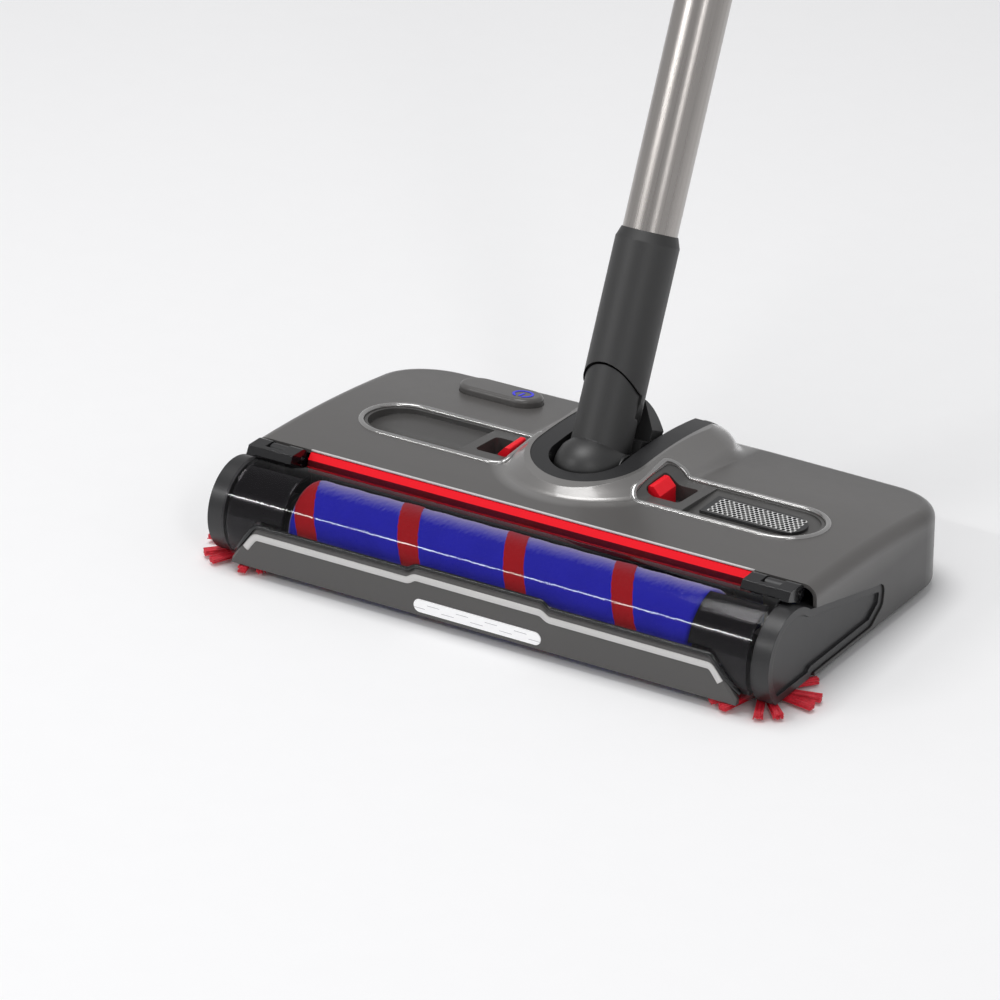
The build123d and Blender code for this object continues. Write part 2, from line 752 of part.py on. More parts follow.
# Front fascia with its raised middle, sloping ends and light window
with BuildPart() as front_fascia:
    with BuildSketch(Plane.XZ.offset(-FASCIA_IN)):
        with BuildLine():
            Polyline(
                (0, FASCIA_Z),
                (RAIL_FOOT_X, FASCIA_Z),
                (RAIL_FOOT_X, RAIL_FOOT_Z),
                (RAIL_HALF, RAIL_Z),
                (STEP_HALF + RAIL_RAMP, RAIL_Z),
                (STEP_HALF - RAIL_RAMP, RAIL_Z + RAIL_STEP),
                (0, RAIL_Z + RAIL_STEP),
            )
            mirror(about=Plane.YZ)
        make_face()
    extrude(amount=FASCIA_T)
    rail = front_fascia.faces().sort_by(Axis.Y)[0].edges()
    chamfer(rail.filter_by(lambda e: e.center().Z > RAIL_FOOT_Z), RAIL_CHAMFER)
    with BuildSketch(Plane.XZ.offset(-FASCIA_OUT)):
        with Locations((0, LENS_Z)):
            SlotOverall(LENS_W + 2 * SEAT, LENS_H + 2 * SEAT)
    extrude(amount=-(LENS_T + BOARD_T - LENS_PROUD), mode=Mode.SUBTRACT)
front_fascia.part.label = "front_fascia"
export_step(front_fascia.part, "parts/front_fascia.step")

# Light bar: lens in front of its board of lamps
with BuildPart() as light_lens:
    with BuildSketch(Plane.XZ.offset(-FASCIA_OUT + LENS_PROUD)):
        with Locations((0, LENS_Z)):
            SlotOverall(LENS_W, LENS_H)
    extrude(amount=-LENS_T)
    fillet(light_lens.faces().sort_by(Axis.Y)[0].edges(), LENS_PROUD)
light_lens.part.label = "light_lens"
export_step(light_lens.part, "parts/light_lens.step")

with BuildPart() as light_board:
    with BuildSketch(Plane.XZ.offset(-FASCIA_OUT + LENS_PROUD - LENS_T)):
        with Locations((0, LENS_Z)):
            SlotOverall(LENS_W, LENS_H)
    extrude(amount=-BOARD_T)
light_board.part.label = "light_board"
export_step(light_board.part, "parts/light_board.step")

# Red strip between the cover and the hood
with BuildPart() as red_trim_strip:
    with BuildSketch(Plane.YZ):
        with BuildLine():
            Polyline(
                (FRONT_Y, TOP_Z - WALL / 2),
                (FRONT_Y - STRIP_EDGE, TOP_Z - WALL / 2),
                (FRONT_Y - STRIP_D, TOP_Z - WALL / 2 - STRIP_SLOPE),
                (FRONT_Y - STRIP_D, STRIP_Z),
                (FRONT_Y, STRIP_Z),
                close=True,
            )
        make_face()
    extrude(amount=HALF - STRIP_END, both=True)
red_trim_strip.part.label = "red_trim_strip"
export_step(red_trim_strip.part, "parts/red_trim_strip.step")

# Clear hood round the front of the roll, drawn in to the rail along its lower edge
hood_back = FRONT_Y - STRIP_D - FIT
fall_angle = 90 - HOOD_FALL
wrap_angle = 180 + HOOD_WRAP
slope = tan(radians(HOOD_FALL))
out_top = on_roll(HOOD_R, fall_angle)
in_top = on_roll(HOOD_R - HOOD_T, fall_angle)
with BuildPart() as hood:
    with BuildSketch(Plane.YZ):
        with BuildLine():
            outer = ThreePointArc(
                on_roll(HOOD_R, wrap_angle),
                on_roll(HOOD_R, (wrap_angle + fall_angle) / 2),
                out_top,
            )
            inner = ThreePointArc(
                on_roll(HOOD_R - HOOD_T, wrap_angle),
                on_roll(HOOD_R - HOOD_T, (wrap_angle + fall_angle) / 2),
                in_top,
            )
            Line(outer @ 0, inner @ 0)
            Polyline(
                out_top,
                (hood_back, out_top[1] - slope * (hood_back - out_top[0])),
                (hood_back, in_top[1] - slope * (hood_back - in_top[0])),
                in_top,
            )
        make_face()
    extrude(amount=HOOD_HALF, both=True)
    for side in SIDES.values():
        with BuildSketch(Plane.YZ.offset(side * HOOD_HALF)):
            with Locations((ROLL_Y, ROLL_Z)):
                Circle(HOOD_R)
                Circle(HOOD_R - CHEEK_W, mode=Mode.SUBTRACT)
            with BuildLine():
                reach = 3 * HOOD_R
                Polyline(
                    (ROLL_Y, ROLL_Z),
                    on_roll(reach, fall_angle),
                    on_roll(reach, (wrap_angle + fall_angle) / 2),
                    on_roll(reach, wrap_angle),
                    close=True,
                )
            make_face(mode=Mode.INTERSECT)
        extrude(amount=-side * HOOD_T)
    with BuildSketch(Plane.XZ.offset(-ROLL_Y)):
        with BuildLine():
            Polyline(
                (0, 0),
                (RAIL_FOOT_X, 0),
                (RAIL_FOOT_X, RAIL_FOOT_Z + FIT),
                (RAIL_HALF + FIT, RAIL_Z + FIT),
                (STEP_HALF + RAIL_RAMP + FIT, RAIL_Z + FIT),
                (STEP_HALF - RAIL_RAMP + FIT, RAIL_Z + RAIL_STEP + FIT),
                (0, RAIL_Z + RAIL_STEP + FIT),
            )
            mirror(about=Plane.YZ)
        make_face()
    extrude(amount=2 * HOOD_R, mode=Mode.SUBTRACT)
    for side in SIDES.values():
        with Locations((side * KNUCKLE_X, HOOD_HINGE_Y, HOOD_HINGE_Z)):
            Box(KNUCKLE_W + 2 * FIT, KNUCKLE_ROOM, 4 * KNUCKLE_R, mode=Mode.SUBTRACT)
hood.part.label = "hood"
export_step(hood.part, "parts/hood.step")

# Glossy hinge arms on the hood's back corners
for name, side in SIDES.items():
    with BuildPart() as hood_arm:
        with BuildSketch(Plane.YZ.offset(side * KNUCKLE_X)):
            with Locations((HOOD_HINGE_Y, HOOD_HINGE_Z)):
                Circle(ARM_R)
            with BuildLine():
                Polyline(
                    (HOOD_HINGE_Y, HOOD_HINGE_Z + ARM_R),
                    (HOOD_HINGE_Y - ARM_REACH + ARM_SLOPE, HOOD_HINGE_Z + ARM_R),
                    (HOOD_HINGE_Y - ARM_REACH, HOOD_HINGE_Z),
                    (HOOD_HINGE_Y, HOOD_HINGE_Z - ARM_R),
                    close=True,
                )
            make_face()
        extrude(amount=ARM_W / 2, both=True)
        add(hood.part, mode=Mode.SUBTRACT)
        with Locations((side * KNUCKLE_X, HOOD_HINGE_Y, HOOD_HINGE_Z)):
            Box(KNUCKLE_W + 2 * FIT, KNUCKLE_ROOM, 4 * KNUCKLE_R, mode=Mode.SUBTRACT)
            Cylinder(HINGE_PIN_R + RUN, 2 * ARM_W, rotation=(0, 90, 0), mode=Mode.SUBTRACT)
    hood_arm.part.label = f"hood_arm_{name}"
    export_step(hood_arm.part, f"parts/hood_arm_{name}.step")

with BuildPart() as hood_hinge_pins:
    with Locations(*[(side * KNUCKLE_X, HOOD_HINGE_Y, HOOD_HINGE_Z) for side in SIDES.values()]):
        Cylinder(HINGE_PIN_R, ARM_W - 2 * HINGE_PIN_INSET, rotation=(0, 90, 0))
hood_hinge_pins.part.label = "hood_hinge_pins"
export_step(hood_hinge_pins.part, "parts/hood_hinge_pins.step")

# End caps with a sunk panel
for name, side in SIDES.items():
    with BuildPart() as end_cap:
        extrude(cap_plan(0, side * CAP_IN), amount=side * CAP_T)
        extrude(cap_plan(-CAP_RIM, side * CAP_OUT), amount=-side * CAP_SINK, mode=Mode.SUBTRACT)
        # Room for the corner brush's hub
        with Locations((side * BRUSH_X, BRUSH_Y, DECK_Z)):
            Cylinder(HUB_R + 2 * FIT, 2 * (DECK_Z - SKIRT_Z), mode=Mode.SUBTRACT)
    end_cap.part.label = f"end_cap_{name}"
    export_step(end_cap.part, f"parts/end_cap_{name}.step")

# Pocket trays in the top, and the red tabs that slide in them
with BuildPart() as tray_form:
    with Locations((0, 0, -TRAY_SINK)):
        add(cover_form.part)

pocket_front = PILL_Y - PILL_W / 2 + TRAY_WALL
floors = {"left": (LEFT_FLOOR_Z, PILL_Y), "right": (RIGHT_FLOOR_Z, PILL_Y - GRILLE_W / 2 - FIT)}
for name, side in SIDES.items():
    finger_x = PILL_IN[side] + TRAY_WALL + FINGER_L / 2
    floor_in = finger_x + FINGER_L / 2 + PARTITION_T
    floor_z, floor_front = floors[name]
    # Scoop: a flat floor that curves up to the pocket's front lip
    with BuildPart() as scoop:
        with BuildSketch(Plane.YZ.offset(side * floor_in)):
            with BuildLine():
                Polyline(
                    (floor_front, floor_z),
                    (PILL_Y + PILL_W, floor_z),
                    (PILL_Y + PILL_W, 2 * TOP_Z),
                    (pocket_front, 2 * TOP_Z),
                    (pocket_front, SCOOP_LIP_Z),
                )
                TangentArc((floor_front, floor_z), (pocket_front, SCOOP_LIP_Z), tangent=(-1, 0))
            make_face()
        extrude(amount=side * HEAD_W)
        extrude(pill_plan(side, -TRAY_WALL), amount=2 * TOP_Z, mode=Mode.INTERSECT)
    with BuildPart() as tray:
        extrude(pill_plan(side, 0), amount=2 * TOP_Z)
        add(tray_form.part, mode=Mode.INTERSECT)
        split(bisect_by=Plane.XY.offset(DEEP_Z - TRAY_T), keep=Keep.TOP)
        add(scoop.part, mode=Mode.SUBTRACT)
        with BuildSketch(Plane.XY.offset(DEEP_Z)):
            with Locations((side * finger_x, PILL_Y)):
                RectangleRounded(FINGER_L, FINGER_W, FINGER_R)
        extrude(amount=TOP_Z, mode=Mode.SUBTRACT)
        if name == "right":
            with Locations((GRILLE_X, PILL_Y, RIGHT_FLOOR_Z)):
                Box(GRILLE_L - 3 * GRILLE_RIM, GRILLE_W - 2 * GRILLE_RIM, TOP_Z, mode=Mode.SUBTRACT)
    tray.part.label = f"{name}_tray"
    export_step(tray.part, f"parts/{name}_tray.step")

    with BuildPart() as release_tab:
        tab_in = PILL_IN[side] + TRAY_WALL + FIT
        with BuildSketch(Plane.XZ.offset(-PILL_Y)):
            with BuildLine():
                Polyline(
                    (side * tab_in, DEEP_Z + FIT),
                    (side * tab_in, TAB_TOP),
                    (side * (tab_in + TAB_CREST), TAB_TOP),
                    (side * (tab_in + TAB_L), TAB_TOP - TAB_FALL),
                    (side * (tab_in + TAB_L), DEEP_Z + FIT),
                    close=True,
                )
            make_face()
        extrude(amount=TAB_W / 2, both=True)
        fillet(release_tab.edges().filter_by(Axis.Y).group_by(Axis.Z)[-1], TAB_EDGE_R)
    release_tab.part.label = f"{name}_release_tab"
    export_step(release_tab.part, f"parts/{name}_release_tab.step")

# Vent grille in the right pocket
with BuildPart() as vent_grille:
    with BuildSketch(Plane.XY.offset(RIGHT_FLOOR_Z)):
        with Locations((GRILLE_X, PILL_Y)):
            with Locations((-GRILLE_W / 4, 0)):
                Rectangle(GRILLE_L - GRILLE_W / 2, GRILLE_W)
            with Locations((GRILLE_L / 2 - GRILLE_W / 2, 0)):
                Circle(GRILLE_W / 2)
            rows = int((GRILLE_W - GRILLE_RIM) / (2 * GRILLE_ROW))
            columns = int((GRILLE_L - 3 * GRILLE_RIM) / GRILLE_PITCH)
            with Locations((-GRILLE_PITCH / 4, -GRILLE_ROW / 2), (GRILLE_PITCH / 4, GRILLE_ROW / 2)):
                with GridLocations(GRILLE_PITCH, 2 * GRILLE_ROW, columns, rows):
                    RegularPolygon(GRILLE_HOLE_R, 6, mode=Mode.SUBTRACT)
    extrude(amount=GRILLE_T)
vent_grille.part.label = "vent_grille"
export_step(vent_grille.part, "parts/vent_grille.step")

# Power button, its symbol, the switch under it and their board
with BuildSketch() as button_plan:
    with Locations((BUTTON_X, BUTTON_Y)):
        SlotOverall(BUTTON_L, BUTTON_W)
with BuildPart() as button_form:
    with Locations((0, 0, BUTTON_PROUD)):
        add(head_form.part)
with BuildPart() as icon_form:
    with Locations((0, 0, BUTTON_PROUD + ICON_T)):
        add(head_form.part)
with BuildPart() as power_button:
    extrude(button_plan.sketch, amount=2 * TOP_Z)
    add(button_form.part, mode=Mode.INTERSECT)
    split(bisect_by=Plane.XY.offset(BUTTON_FOOT), keep=Keep.TOP)
    fillet(power_button.faces().sort_by(Axis.Z)[-1].edges(), BUTTON_EDGE_R)
    with BuildSketch(Plane.XY.offset(BUTTON_FOOT)):
        with Locations((BUTTON_X, BUTTON_Y)):
            SlotOverall(BUTTON_L + 2 * BUTTON_FLANGE, BUTTON_W + 2 * BUTTON_FLANGE)
    extrude(amount=BUTTON_FLANGE_T)
    stem_l = BUTTON_FOOT - PCB_Z - BOARD_T - SWITCH_H - PRESS - FIT
    with Locations((BUTTON_X + STEM_X, BUTTON_Y, BUTTON_FOOT)):
        Cylinder(STEM_R, stem_l, align=DOWN)
power_button.part.label = "power_button"
export_step(power_button.part, "parts/power_button.step")

with BuildPart() as power_icon:
    with BuildSketch():
        with Locations((BUTTON_X + (BUTTON_L - BUTTON_W) / 2, BUTTON_Y)):
            Circle(ICON_R)
            Circle(ICON_R - ICON_LINE, mode=Mode.SUBTRACT)
            with Locations((0, -ICON_R)):
                Rectangle(3 * ICON_LINE, 2 * ICON_LINE + ICON_R, mode=Mode.SUBTRACT)
            with Locations((0, -ICON_BAR_Y)):
                Rectangle(ICON_LINE, ICON_R)
    extrude(amount=2 * TOP_Z)
    add(icon_form.part, mode=Mode.INTERSECT)
    add(button_form.part, mode=Mode.SUBTRACT)
power_icon.part.label = "power_icon"
export_step(power_icon.part, "parts/power_icon.step")

with BuildPart() as control_board:
    with Locations((PCB_X, PCB_Y, PCB_Z)):
        Box(PCB_L, PCB_W, BOARD_T, align=UP)
control_board.part.label = "control_board"
export_step(control_board.part, "parts/control_board.step")

with BuildPart() as power_switch:
    with Locations((BUTTON_X + STEM_X, BUTTON_Y, PCB_Z + BOARD_T)):
        Box(SWITCH_SIDE, SWITCH_SIDE, SWITCH_BASE_H, align=UP)
        Cylinder(STEM_R, SWITCH_H, align=UP)
power_switch.part.label = "power_switch"
export_step(power_switch.part, "parts/power_switch.step")

# Neck liner: a U-shaped trough with an arched rim, open to the back, its tail no higher than the head
with BuildPart() as liner_tail:
    extrude(
        u_plan(TROUGH_Z - LINER_T, TROUGH_HALF + LINER_T, TROUGH_Y, BACK_Y - WALL),
        amount=LINER_RIM_Z - TROUGH_Z + LINER_T,
    )
    add(head_form.part, mode=Mode.INTERSECT)
with BuildPart() as neck_liner:
    extrude(u_plan(LINER_RIM_Z, WELL_HALF, WELL_Y, LINER_BACK), amount=TOP_Z)
    with Locations((0, CREST_Y, CREST_Z - CREST_R)):
        Cylinder(CREST_R - LINER_SINK, HEAD_W, rotation=(0, 90, 0), mode=Mode.INTERSECT)
    extrude(
        u_plan(TROUGH_Z - LINER_T, TROUGH_HALF + LINER_T, TROUGH_Y, LINER_BACK),
        amount=LINER_RIM_Z - TROUGH_Z + LINER_T,
    )
    add(liner_tail.part)
    extrude(u_plan(TROUGH_Z, TROUGH_HALF, TROUGH_Y, 2 * BACK_Y), amount=TOP_Z, mode=Mode.SUBTRACT)
    with Locations((0, NECK_Y, NECK_Z)):
        Cylinder(TILT_PIN_R + SEAT, 2 * HALF, rotation=(0, 90, 0), mode=Mode.SUBTRACT)
neck_liner.part.label = "neck_liner"
export_step(neck_liner.part, "parts/neck_liner.step")

# Saddle over the drawer, with two ears for the tilt pin
with BuildPart() as neck_saddle:
    with Locations((0, NECK_Y, SADDLE_Z)):
        Box(
            2 * (DRAWER_HALF + FIT + RAIL_T),
            SADDLE_D,
            SADDLE_T,
            align=UP,
        )
    for side in SIDES.values():
        with BuildSketch(Plane.YZ.offset(side * EAR_X)):
            with Locations((NECK_Y, NECK_Z)):
                Circle(EAR_R)
            with Locations((NECK_Y, SADDLE_Z)):
                Rectangle(2 * EAR_R, NECK_Z - SADDLE_Z, align=(Align.CENTER, Align.MIN))
            with Locations((NECK_Y, NECK_Z)):
                Circle(TILT_PIN_R, mode=Mode.SUBTRACT)
        extrude(amount=EAR_W / 2, both=True)
neck_saddle.part.label = "neck_saddle"
export_step(neck_saddle.part, "parts/neck_saddle.step")

with BuildPart() as tilt_pin:
    with Locations((0, NECK_Y, NECK_Z)):
        Cylinder(TILT_PIN_R, 2 * EAR_X + EAR_W, rotation=(0, 90, 0))
tilt_pin.part.label = "tilt_pin"
export_step(tilt_pin.part, "parts/tilt_pin.step")

# Neck foot: the dome that tilts in the well, and the tongue that the pole swings on
down_back = pole.y_dir * sin(radians(DOME_CUT_ANGLE)) - pole.z_dir * cos(radians(DOME_CUT_ANGLE))
dome_cut = Plane(origin=pole.origin + down_back * DOME_CUT, x_dir=(1, 0, 0), z_dir=down_back)
with BuildPart() as dome_form:
    Sphere(DOME_REACH)
    scale(by=(DOME_HALF / DOME_REACH, 1, DOME_RISE / DOME_REACH))
with BuildPart() as dome:
    with Locations(pole.location):
        add(dome_form.part)
    split(bisect_by=dome_cut, keep=Keep.BOTTOM)
    with Locations(pole.origin):
        Cylinder(TILT_BOSS_R, TILT_BOSS_L, rotation=(0, 90, 0))
# Heel and its hollow-backed web, behind the socket's tongue
with BuildPart() as heel:
    with BuildSketch(pole_side):
        with BuildLine():
            SagittaArc((WEB_REACH, WEB_RISE), (WEB_IN, WEB_TOP), -WEB_HOLLOW)
            Polyline(
                (WEB_IN, WEB_TOP),
                (WEB_IN, HEEL_TOP),
                (HEEL_IN, HEEL_TOP),
                (HEEL_IN, HEEL_FOOT),
                (HEEL_REACH, HEEL_RISE),
                (WEB_REACH, WEB_RISE),
            )
        make_face()
    extrude(amount=HEEL_W / 2, both=True)
    # The web narrows towards its top
    with BuildSketch(swing):
        with BuildLine():
            Polyline(
                (-HEEL_W / 2, 0),
                (HEEL_W / 2, 0),
                (HEEL_W / 2, WEB_RISE),
                (WEB_TOP_W / 2, WEB_TOP),
                (-WEB_TOP_W / 2, WEB_TOP),
                (-HEEL_W / 2, WEB_RISE),
                close=True,
            )
        make_face()
    extrude(amount=2 * WEB_REACH, both=True, mode=Mode.INTERSECT)
with BuildPart() as neck_foot:
    # Round post with a round-topped tongue, cut away at the back for the socket's own tongue
    with BuildSketch(swing):
        Rectangle(4 * POST_R, SWING_S, align=(Align.CENTER, Align.MIN))
        with Locations((0, SWING_S)):
            Circle(TONGUE_R)
    extrude(amount=2 * POST_R, both=True)
    with Locations(pole.location):
        Cylinder(POST_R, 4 * SWING_S, mode=Mode.INTERSECT)
    add(dome.part)
    with BuildSketch(swing.offset(LAP_GAP / 2)):
        with Locations((0, SWING_S)):
            Circle(TONGUE_R + SWING_GAP)
            Rectangle(4 * POST_R, 4 * POST_R, align=(Align.CENTER, Align.MIN))
    extrude(amount=-2 * POST_R, mode=Mode.SUBTRACT)
    add(heel.part)
    with BuildSketch(swing.offset(SWING_PIN_FRONT)):
        with Locations((0, SWING_S)):
            Circle(SWING_PIN_R)
    extrude(amount=-4 * POST_R, mode=Mode.SUBTRACT)
    with Locations(pole.origin):
        Cylinder(TILT_PIN_R + RUN, 4 * DOME_REACH, rotation=(0, 90, 0), mode=Mode.SUBTRACT)
neck_foot.part.label = "neck_foot"
export_step(neck_foot.part, "parts/neck_foot.step")

with BuildPart() as swing_pin:
    with BuildSketch(swing.offset(SWING_PIN_FRONT)):
        with Locations((0, SWING_S)):
            Circle(SWING_PIN_R)
    extrude(amount=-SWING_PIN_FRONT - SWING_PIN_BACK)
swing_pin.part.label = "swing_pin"
export_step(swing_pin.part, "parts/swing_pin.step")

# Pole socket: the sleeve whose back half laps the tongue
with BuildPart(pole) as pole_socket:
    with Locations((0, 0, SWING_S - TONGUE_R)):
        Cylinder(SLEEVE_R, SLEEVE_TOP - SWING_S + TONGUE_R, align=UP)
    rim = pole_socket.faces().sort_by(Axis((0, 0, 0), pole.z_dir))[-1]
    chamfer(rim.edges(), SLEEVE_CHAMFER, SLEEVE_CHAMFER_H, reference=rim)
    with BuildSketch(swing.offset(-LAP_GAP / 2)):
        with Locations((0, SWING_S)):
            Circle(TONGUE_R + SWING_GAP)
            Rectangle(4 * SLEEVE_R, 2 * SLEEVE_R, align=(Align.CENTER, Align.MAX))
    extrude(amount=2 * SLEEVE_R, mode=Mode.SUBTRACT)
    with BuildSketch(swing):
        with Locations((0, SWING_S)):
            Rectangle(4 * SLEEVE_R, 2 * SLEEVE_R, align=(Align.CENTER, Align.MAX))
            Circle(TONGUE_R, mode=Mode.SUBTRACT)
    extrude(amount=2 * SLEEVE_R, both=True, mode=Mode.SUBTRACT)
    with Locations((0, 0, SWING_S)):
        Cylinder(SWING_PIN_R + RUN, 4 * SLEEVE_R, rotation=(90, 0, 0), mode=Mode.SUBTRACT)
    with Locations((0, 0, TUBE_FOOT)):
        Cylinder(TUBE_R, SLEEVE_TOP, align=UP, mode=Mode.SUBTRACT)
pole_socket.part.label = "pole_socket"
export_step(pole_socket.part, "parts/pole_socket.step")

# Pole tubes, the lock between them and the grip
with BuildPart(pole) as lower_tube:
    with Locations((0, 0, TUBE_FOOT)):
        Cylinder(TUBE_R, TUBE_TOP - TUBE_FOOT, align=UP)
        Cylinder(TUBE_R - TUBE_T, TUBE_TOP, align=UP, mode=Mode.SUBTRACT)
lower_tube.part.label = "lower_tube"
export_step(lower_tube.part, "parts/lower_tube.step")

lever_y = -LOCK_R - LEVER_T / 2 - FIT
lever_z = LOCK_TOP - LEVER_T
with BuildPart(pole) as lock_collar:
    with Locations((0, 0, LOCK_FOOT)):
        Cylinder(LOCK_R, LOCK_H, align=UP)
    chamfer(lock_collar.edges().filter_by(GeomType.CIRCLE), LOCK_EDGE)
    with Locations((0, 0, lever_z)):
        for ear in (-1, 1):
            ear_x = ear * (LEVER_W / 2 + FIT + LEVER_EAR_T / 2)
            with Locations((ear_x, -(LOCK_R + LEVER_T) / 2, 0)):
                Box(LEVER_EAR_T, LOCK_R + LEVER_T, LEVER_EAR_H)
        with Locations((0, lever_y, 0)):
            Cylinder(LEVER_PIN_R, 4 * LEVER_W, rotation=(0, 90, 0), mode=Mode.SUBTRACT)
    with Locations((0, 0, LOCK_FOOT)):
        Cylinder(TUBE_R, TUBE_TOP - LOCK_FOOT, align=UP, mode=Mode.SUBTRACT)
        Cylinder(INNER_R + RUN, LOCK_H, align=UP, mode=Mode.SUBTRACT)
lock_collar.part.label = "lock_collar"
export_step(lock_collar.part, "parts/lock_collar.step")

with BuildPart(pole) as lever_pin:
    with Locations((0, lever_y, lever_z)):
        Cylinder(LEVER_PIN_R, LEVER_W + 2 * LEVER_EAR_T, rotation=(0, 90, 0))
lever_pin.part.label = "lever_pin"
export_step(lever_pin.part, "parts/lever_pin.step")

with BuildPart(pole) as lock_lever:
    with Locations((0, lever_y, lever_z)):
        Cylinder(LEVER_T / 2, LEVER_W, rotation=(0, 90, 0))
        Box(LEVER_W, LEVER_T, LEVER_L, align=DOWN)
        Cylinder(LEVER_PIN_R + RUN, 2 * LEVER_W, rotation=(0, 90, 0), mode=Mode.SUBTRACT)
    lever_end = lock_lever.faces().sort_by(Axis((0, 0, 0), pole.z_dir))[0]
    fillet(lever_end.edges().filter_by(Axis.X), LEVER_TIP_R)
lock_lever.part.label = "lock_lever"
export_step(lock_lever.part, "parts/lock_lever.step")

with BuildPart(pole) as inner_tube:
    inner_top = LOCK_TOP + GRIP_H - GRIP_TAB_H - INNER_SINK
    with Locations((0, 0, INNER_FOOT)):
        Cylinder(INNER_R, inner_top - INNER_FOOT, align=UP)
        Cylinder(INNER_R - INNER_T, inner_top, align=UP, mode=Mode.SUBTRACT)
inner_tube.part.label = "inner_tube"
export_step(inner_tube.part, "parts/inner_tube.step")

grip_foot = LOCK_TOP + FIT
grip_top = grip_foot + GRIP_H
shoulder = grip_top - GRIP_TAB_H
with BuildPart() as grip:
    with BuildSketch(swing):
        with BuildLine():
            Polyline(
                (0, shoulder),
                (0, inner_top),
                (INNER_R, inner_top),
                (INNER_R, grip_foot),
                (GRIP_R + GRIP_FLARE, grip_foot),
                (GRIP_R + GRIP_FLARE, grip_foot + GRIP_BAND),
            )
            ThreePointArc(
                (GRIP_R + GRIP_FLARE, grip_foot + GRIP_BAND),
                (GRIP_R - GRIP_WAIST, grip_foot + GRIP_WAIST_Z),
                (GRIP_R, shoulder),
            )
            Line((GRIP_R, shoulder), (0, shoulder))
        make_face()
    revolve(axis=Axis(pole.origin, pole.z_dir))
    fillet(grip.faces().sort_by(Axis((0, 0, 0), pole.z_dir))[-1].edges(), GRIP_SHOULDER_R)
    # Flat tab with the hanging hole
    with BuildSketch(pole_side):
        with Locations((0, grip_top - GRIP_TAB_R)):
            Circle(GRIP_TAB_R)
        with Locations((0, shoulder - GRIP_SHOULDER_R)):
            Rectangle(2 * (GRIP_R - GRIP_WAIST), GRIP_ROOT_H, align=(Align.CENTER, Align.MAX))
        make_hull()
    extrude(amount=GRIP_TAB_T / 2, both=True)
    with BuildSketch(pole_side):
        with Locations((0, grip_top - HANG_HOLE_DROP)):
            Circle(HANG_HOLE_R)
    extrude(amount=GRIP_R, both=True, mode=Mode.SUBTRACT)
grip.part.label = "grip"
export_step(grip.part, "parts/grip.step")

# Roll: core tube, nap sleeve, end plugs with axles, and the drive pulley
with BuildPart() as roll_core:
    with Locations((0, ROLL_Y, ROLL_Z)):
        Cylinder(CORE_R, 2 * NAP_HALF, rotation=(0, 90, 0))
        Cylinder(CORE_R - CORE_T, 2 * NAP_HALF, rotation=(0, 90, 0), mode=Mode.SUBTRACT)
roll_core.part.label = "roll_core"
export_step(roll_core.part, "parts/roll_core.step")

with BuildPart() as roll_nap:
    with Locations((0, ROLL_Y, ROLL_Z)):
        Cylinder(NAP_R, 2 * NAP_HALF, rotation=(0, 90, 0))
        Cylinder(CORE_R, 2 * NAP_HALF, rotation=(0, 90, 0), mode=Mode.SUBTRACT)
roll_nap.part.label = "roll_nap"
export_step(roll_nap.part, "parts/roll_nap.step")

for name, side in SIDES.items():
    with BuildPart() as roll_plug:
        with BuildSketch(Plane.YZ.offset(side * NAP_HALF)):
            with Locations((ROLL_Y, ROLL_Z)):
                Circle(CORE_R)
        extrude(amount=side * PLUG_T)
        with BuildSketch(Plane.YZ.offset(side * (NAP_HALF - PLUG_DEPTH))):
            with Locations((ROLL_Y, ROLL_Z)):
                Circle(CORE_R - CORE_T)
        extrude(amount=side * PLUG_DEPTH)
        with BuildSketch(Plane.YZ.offset(side * NAP_HALF)):
            with Locations((ROLL_Y, ROLL_Z)):
                Circle(AXLE_R)
        extrude(amount=side * (CARRIER_OUT - NAP_HALF))
    roll_plug.part.label = f"roll_plug_{name}"
    export_step(roll_plug.part, f"parts/roll_plug_{name}.step")

    with BuildPart() as roll_bush:
        with Locations((side * (CARRIER_IN + BUSH_W / 2), ROLL_Y, ROLL_Z)):
            Cylinder(BUSH_R, BUSH_W, rotation=(0, 90, 0))
            Cylinder(AXLE_R + RUN, BUSH_W, rotation=(0, 90, 0), mode=Mode.SUBTRACT)
    roll_bush.part.label = f"roll_bush_{name}"
    export_step(roll_bush.part, f"parts/roll_bush_{name}.step")

with BuildPart() as roll_pulley:
    with Locations((-PULLEY_X, ROLL_Y, ROLL_Z)):
        Cylinder(ROLL_PULLEY_R, PULLEY_W, rotation=(0, 90, 0))
        Cylinder(AXLE_R, PULLEY_W, rotation=(0, 90, 0), mode=Mode.SUBTRACT)
roll_pulley.part.label = "roll_pulley"
export_step(roll_pulley.part, "parts/roll_pulley.step")

# Drive motor with its pulley and the flat belt
with BuildPart() as drive_motor:
    with Locations((-NAP_HALF, MOTOR_Y, MOTOR_Z)):
        Cylinder(MOTOR_R, MOTOR_L, rotation=(0, 90, 0), align=UP)
        Cylinder(MOTOR_BOSS_R, RIB_T, rotation=(0, -90, 0), align=UP)
        Cylinder(MOTOR_SHAFT_R + RUN, 2 * MOTOR_SHAFT_L, rotation=(0, 90, 0), mode=Mode.SUBTRACT)
    fillet(drive_motor.faces().sort_by(Axis.X)[-1].edges(), MOTOR_EDGE_R)
drive_motor.part.label = "drive_motor"
export_step(drive_motor.part, "parts/drive_motor.step")

with BuildPart() as motor_pulley:
    with Locations((-PULLEY_X, MOTOR_Y, MOTOR_Z)):
        Cylinder(MOTOR_PULLEY_R, PULLEY_W, rotation=(0, 90, 0))
        shaft_l = PULLEY_X - NAP_HALF + MOTOR_SHAFT_L - MOTOR_SHAFT_GAP
        Cylinder(MOTOR_SHAFT_R, shaft_l, rotation=(0, 90, 0), align=UP)
motor_pulley.part.label = "motor_pulley"
export_step(motor_pulley.part, "parts/motor_pulley.step")


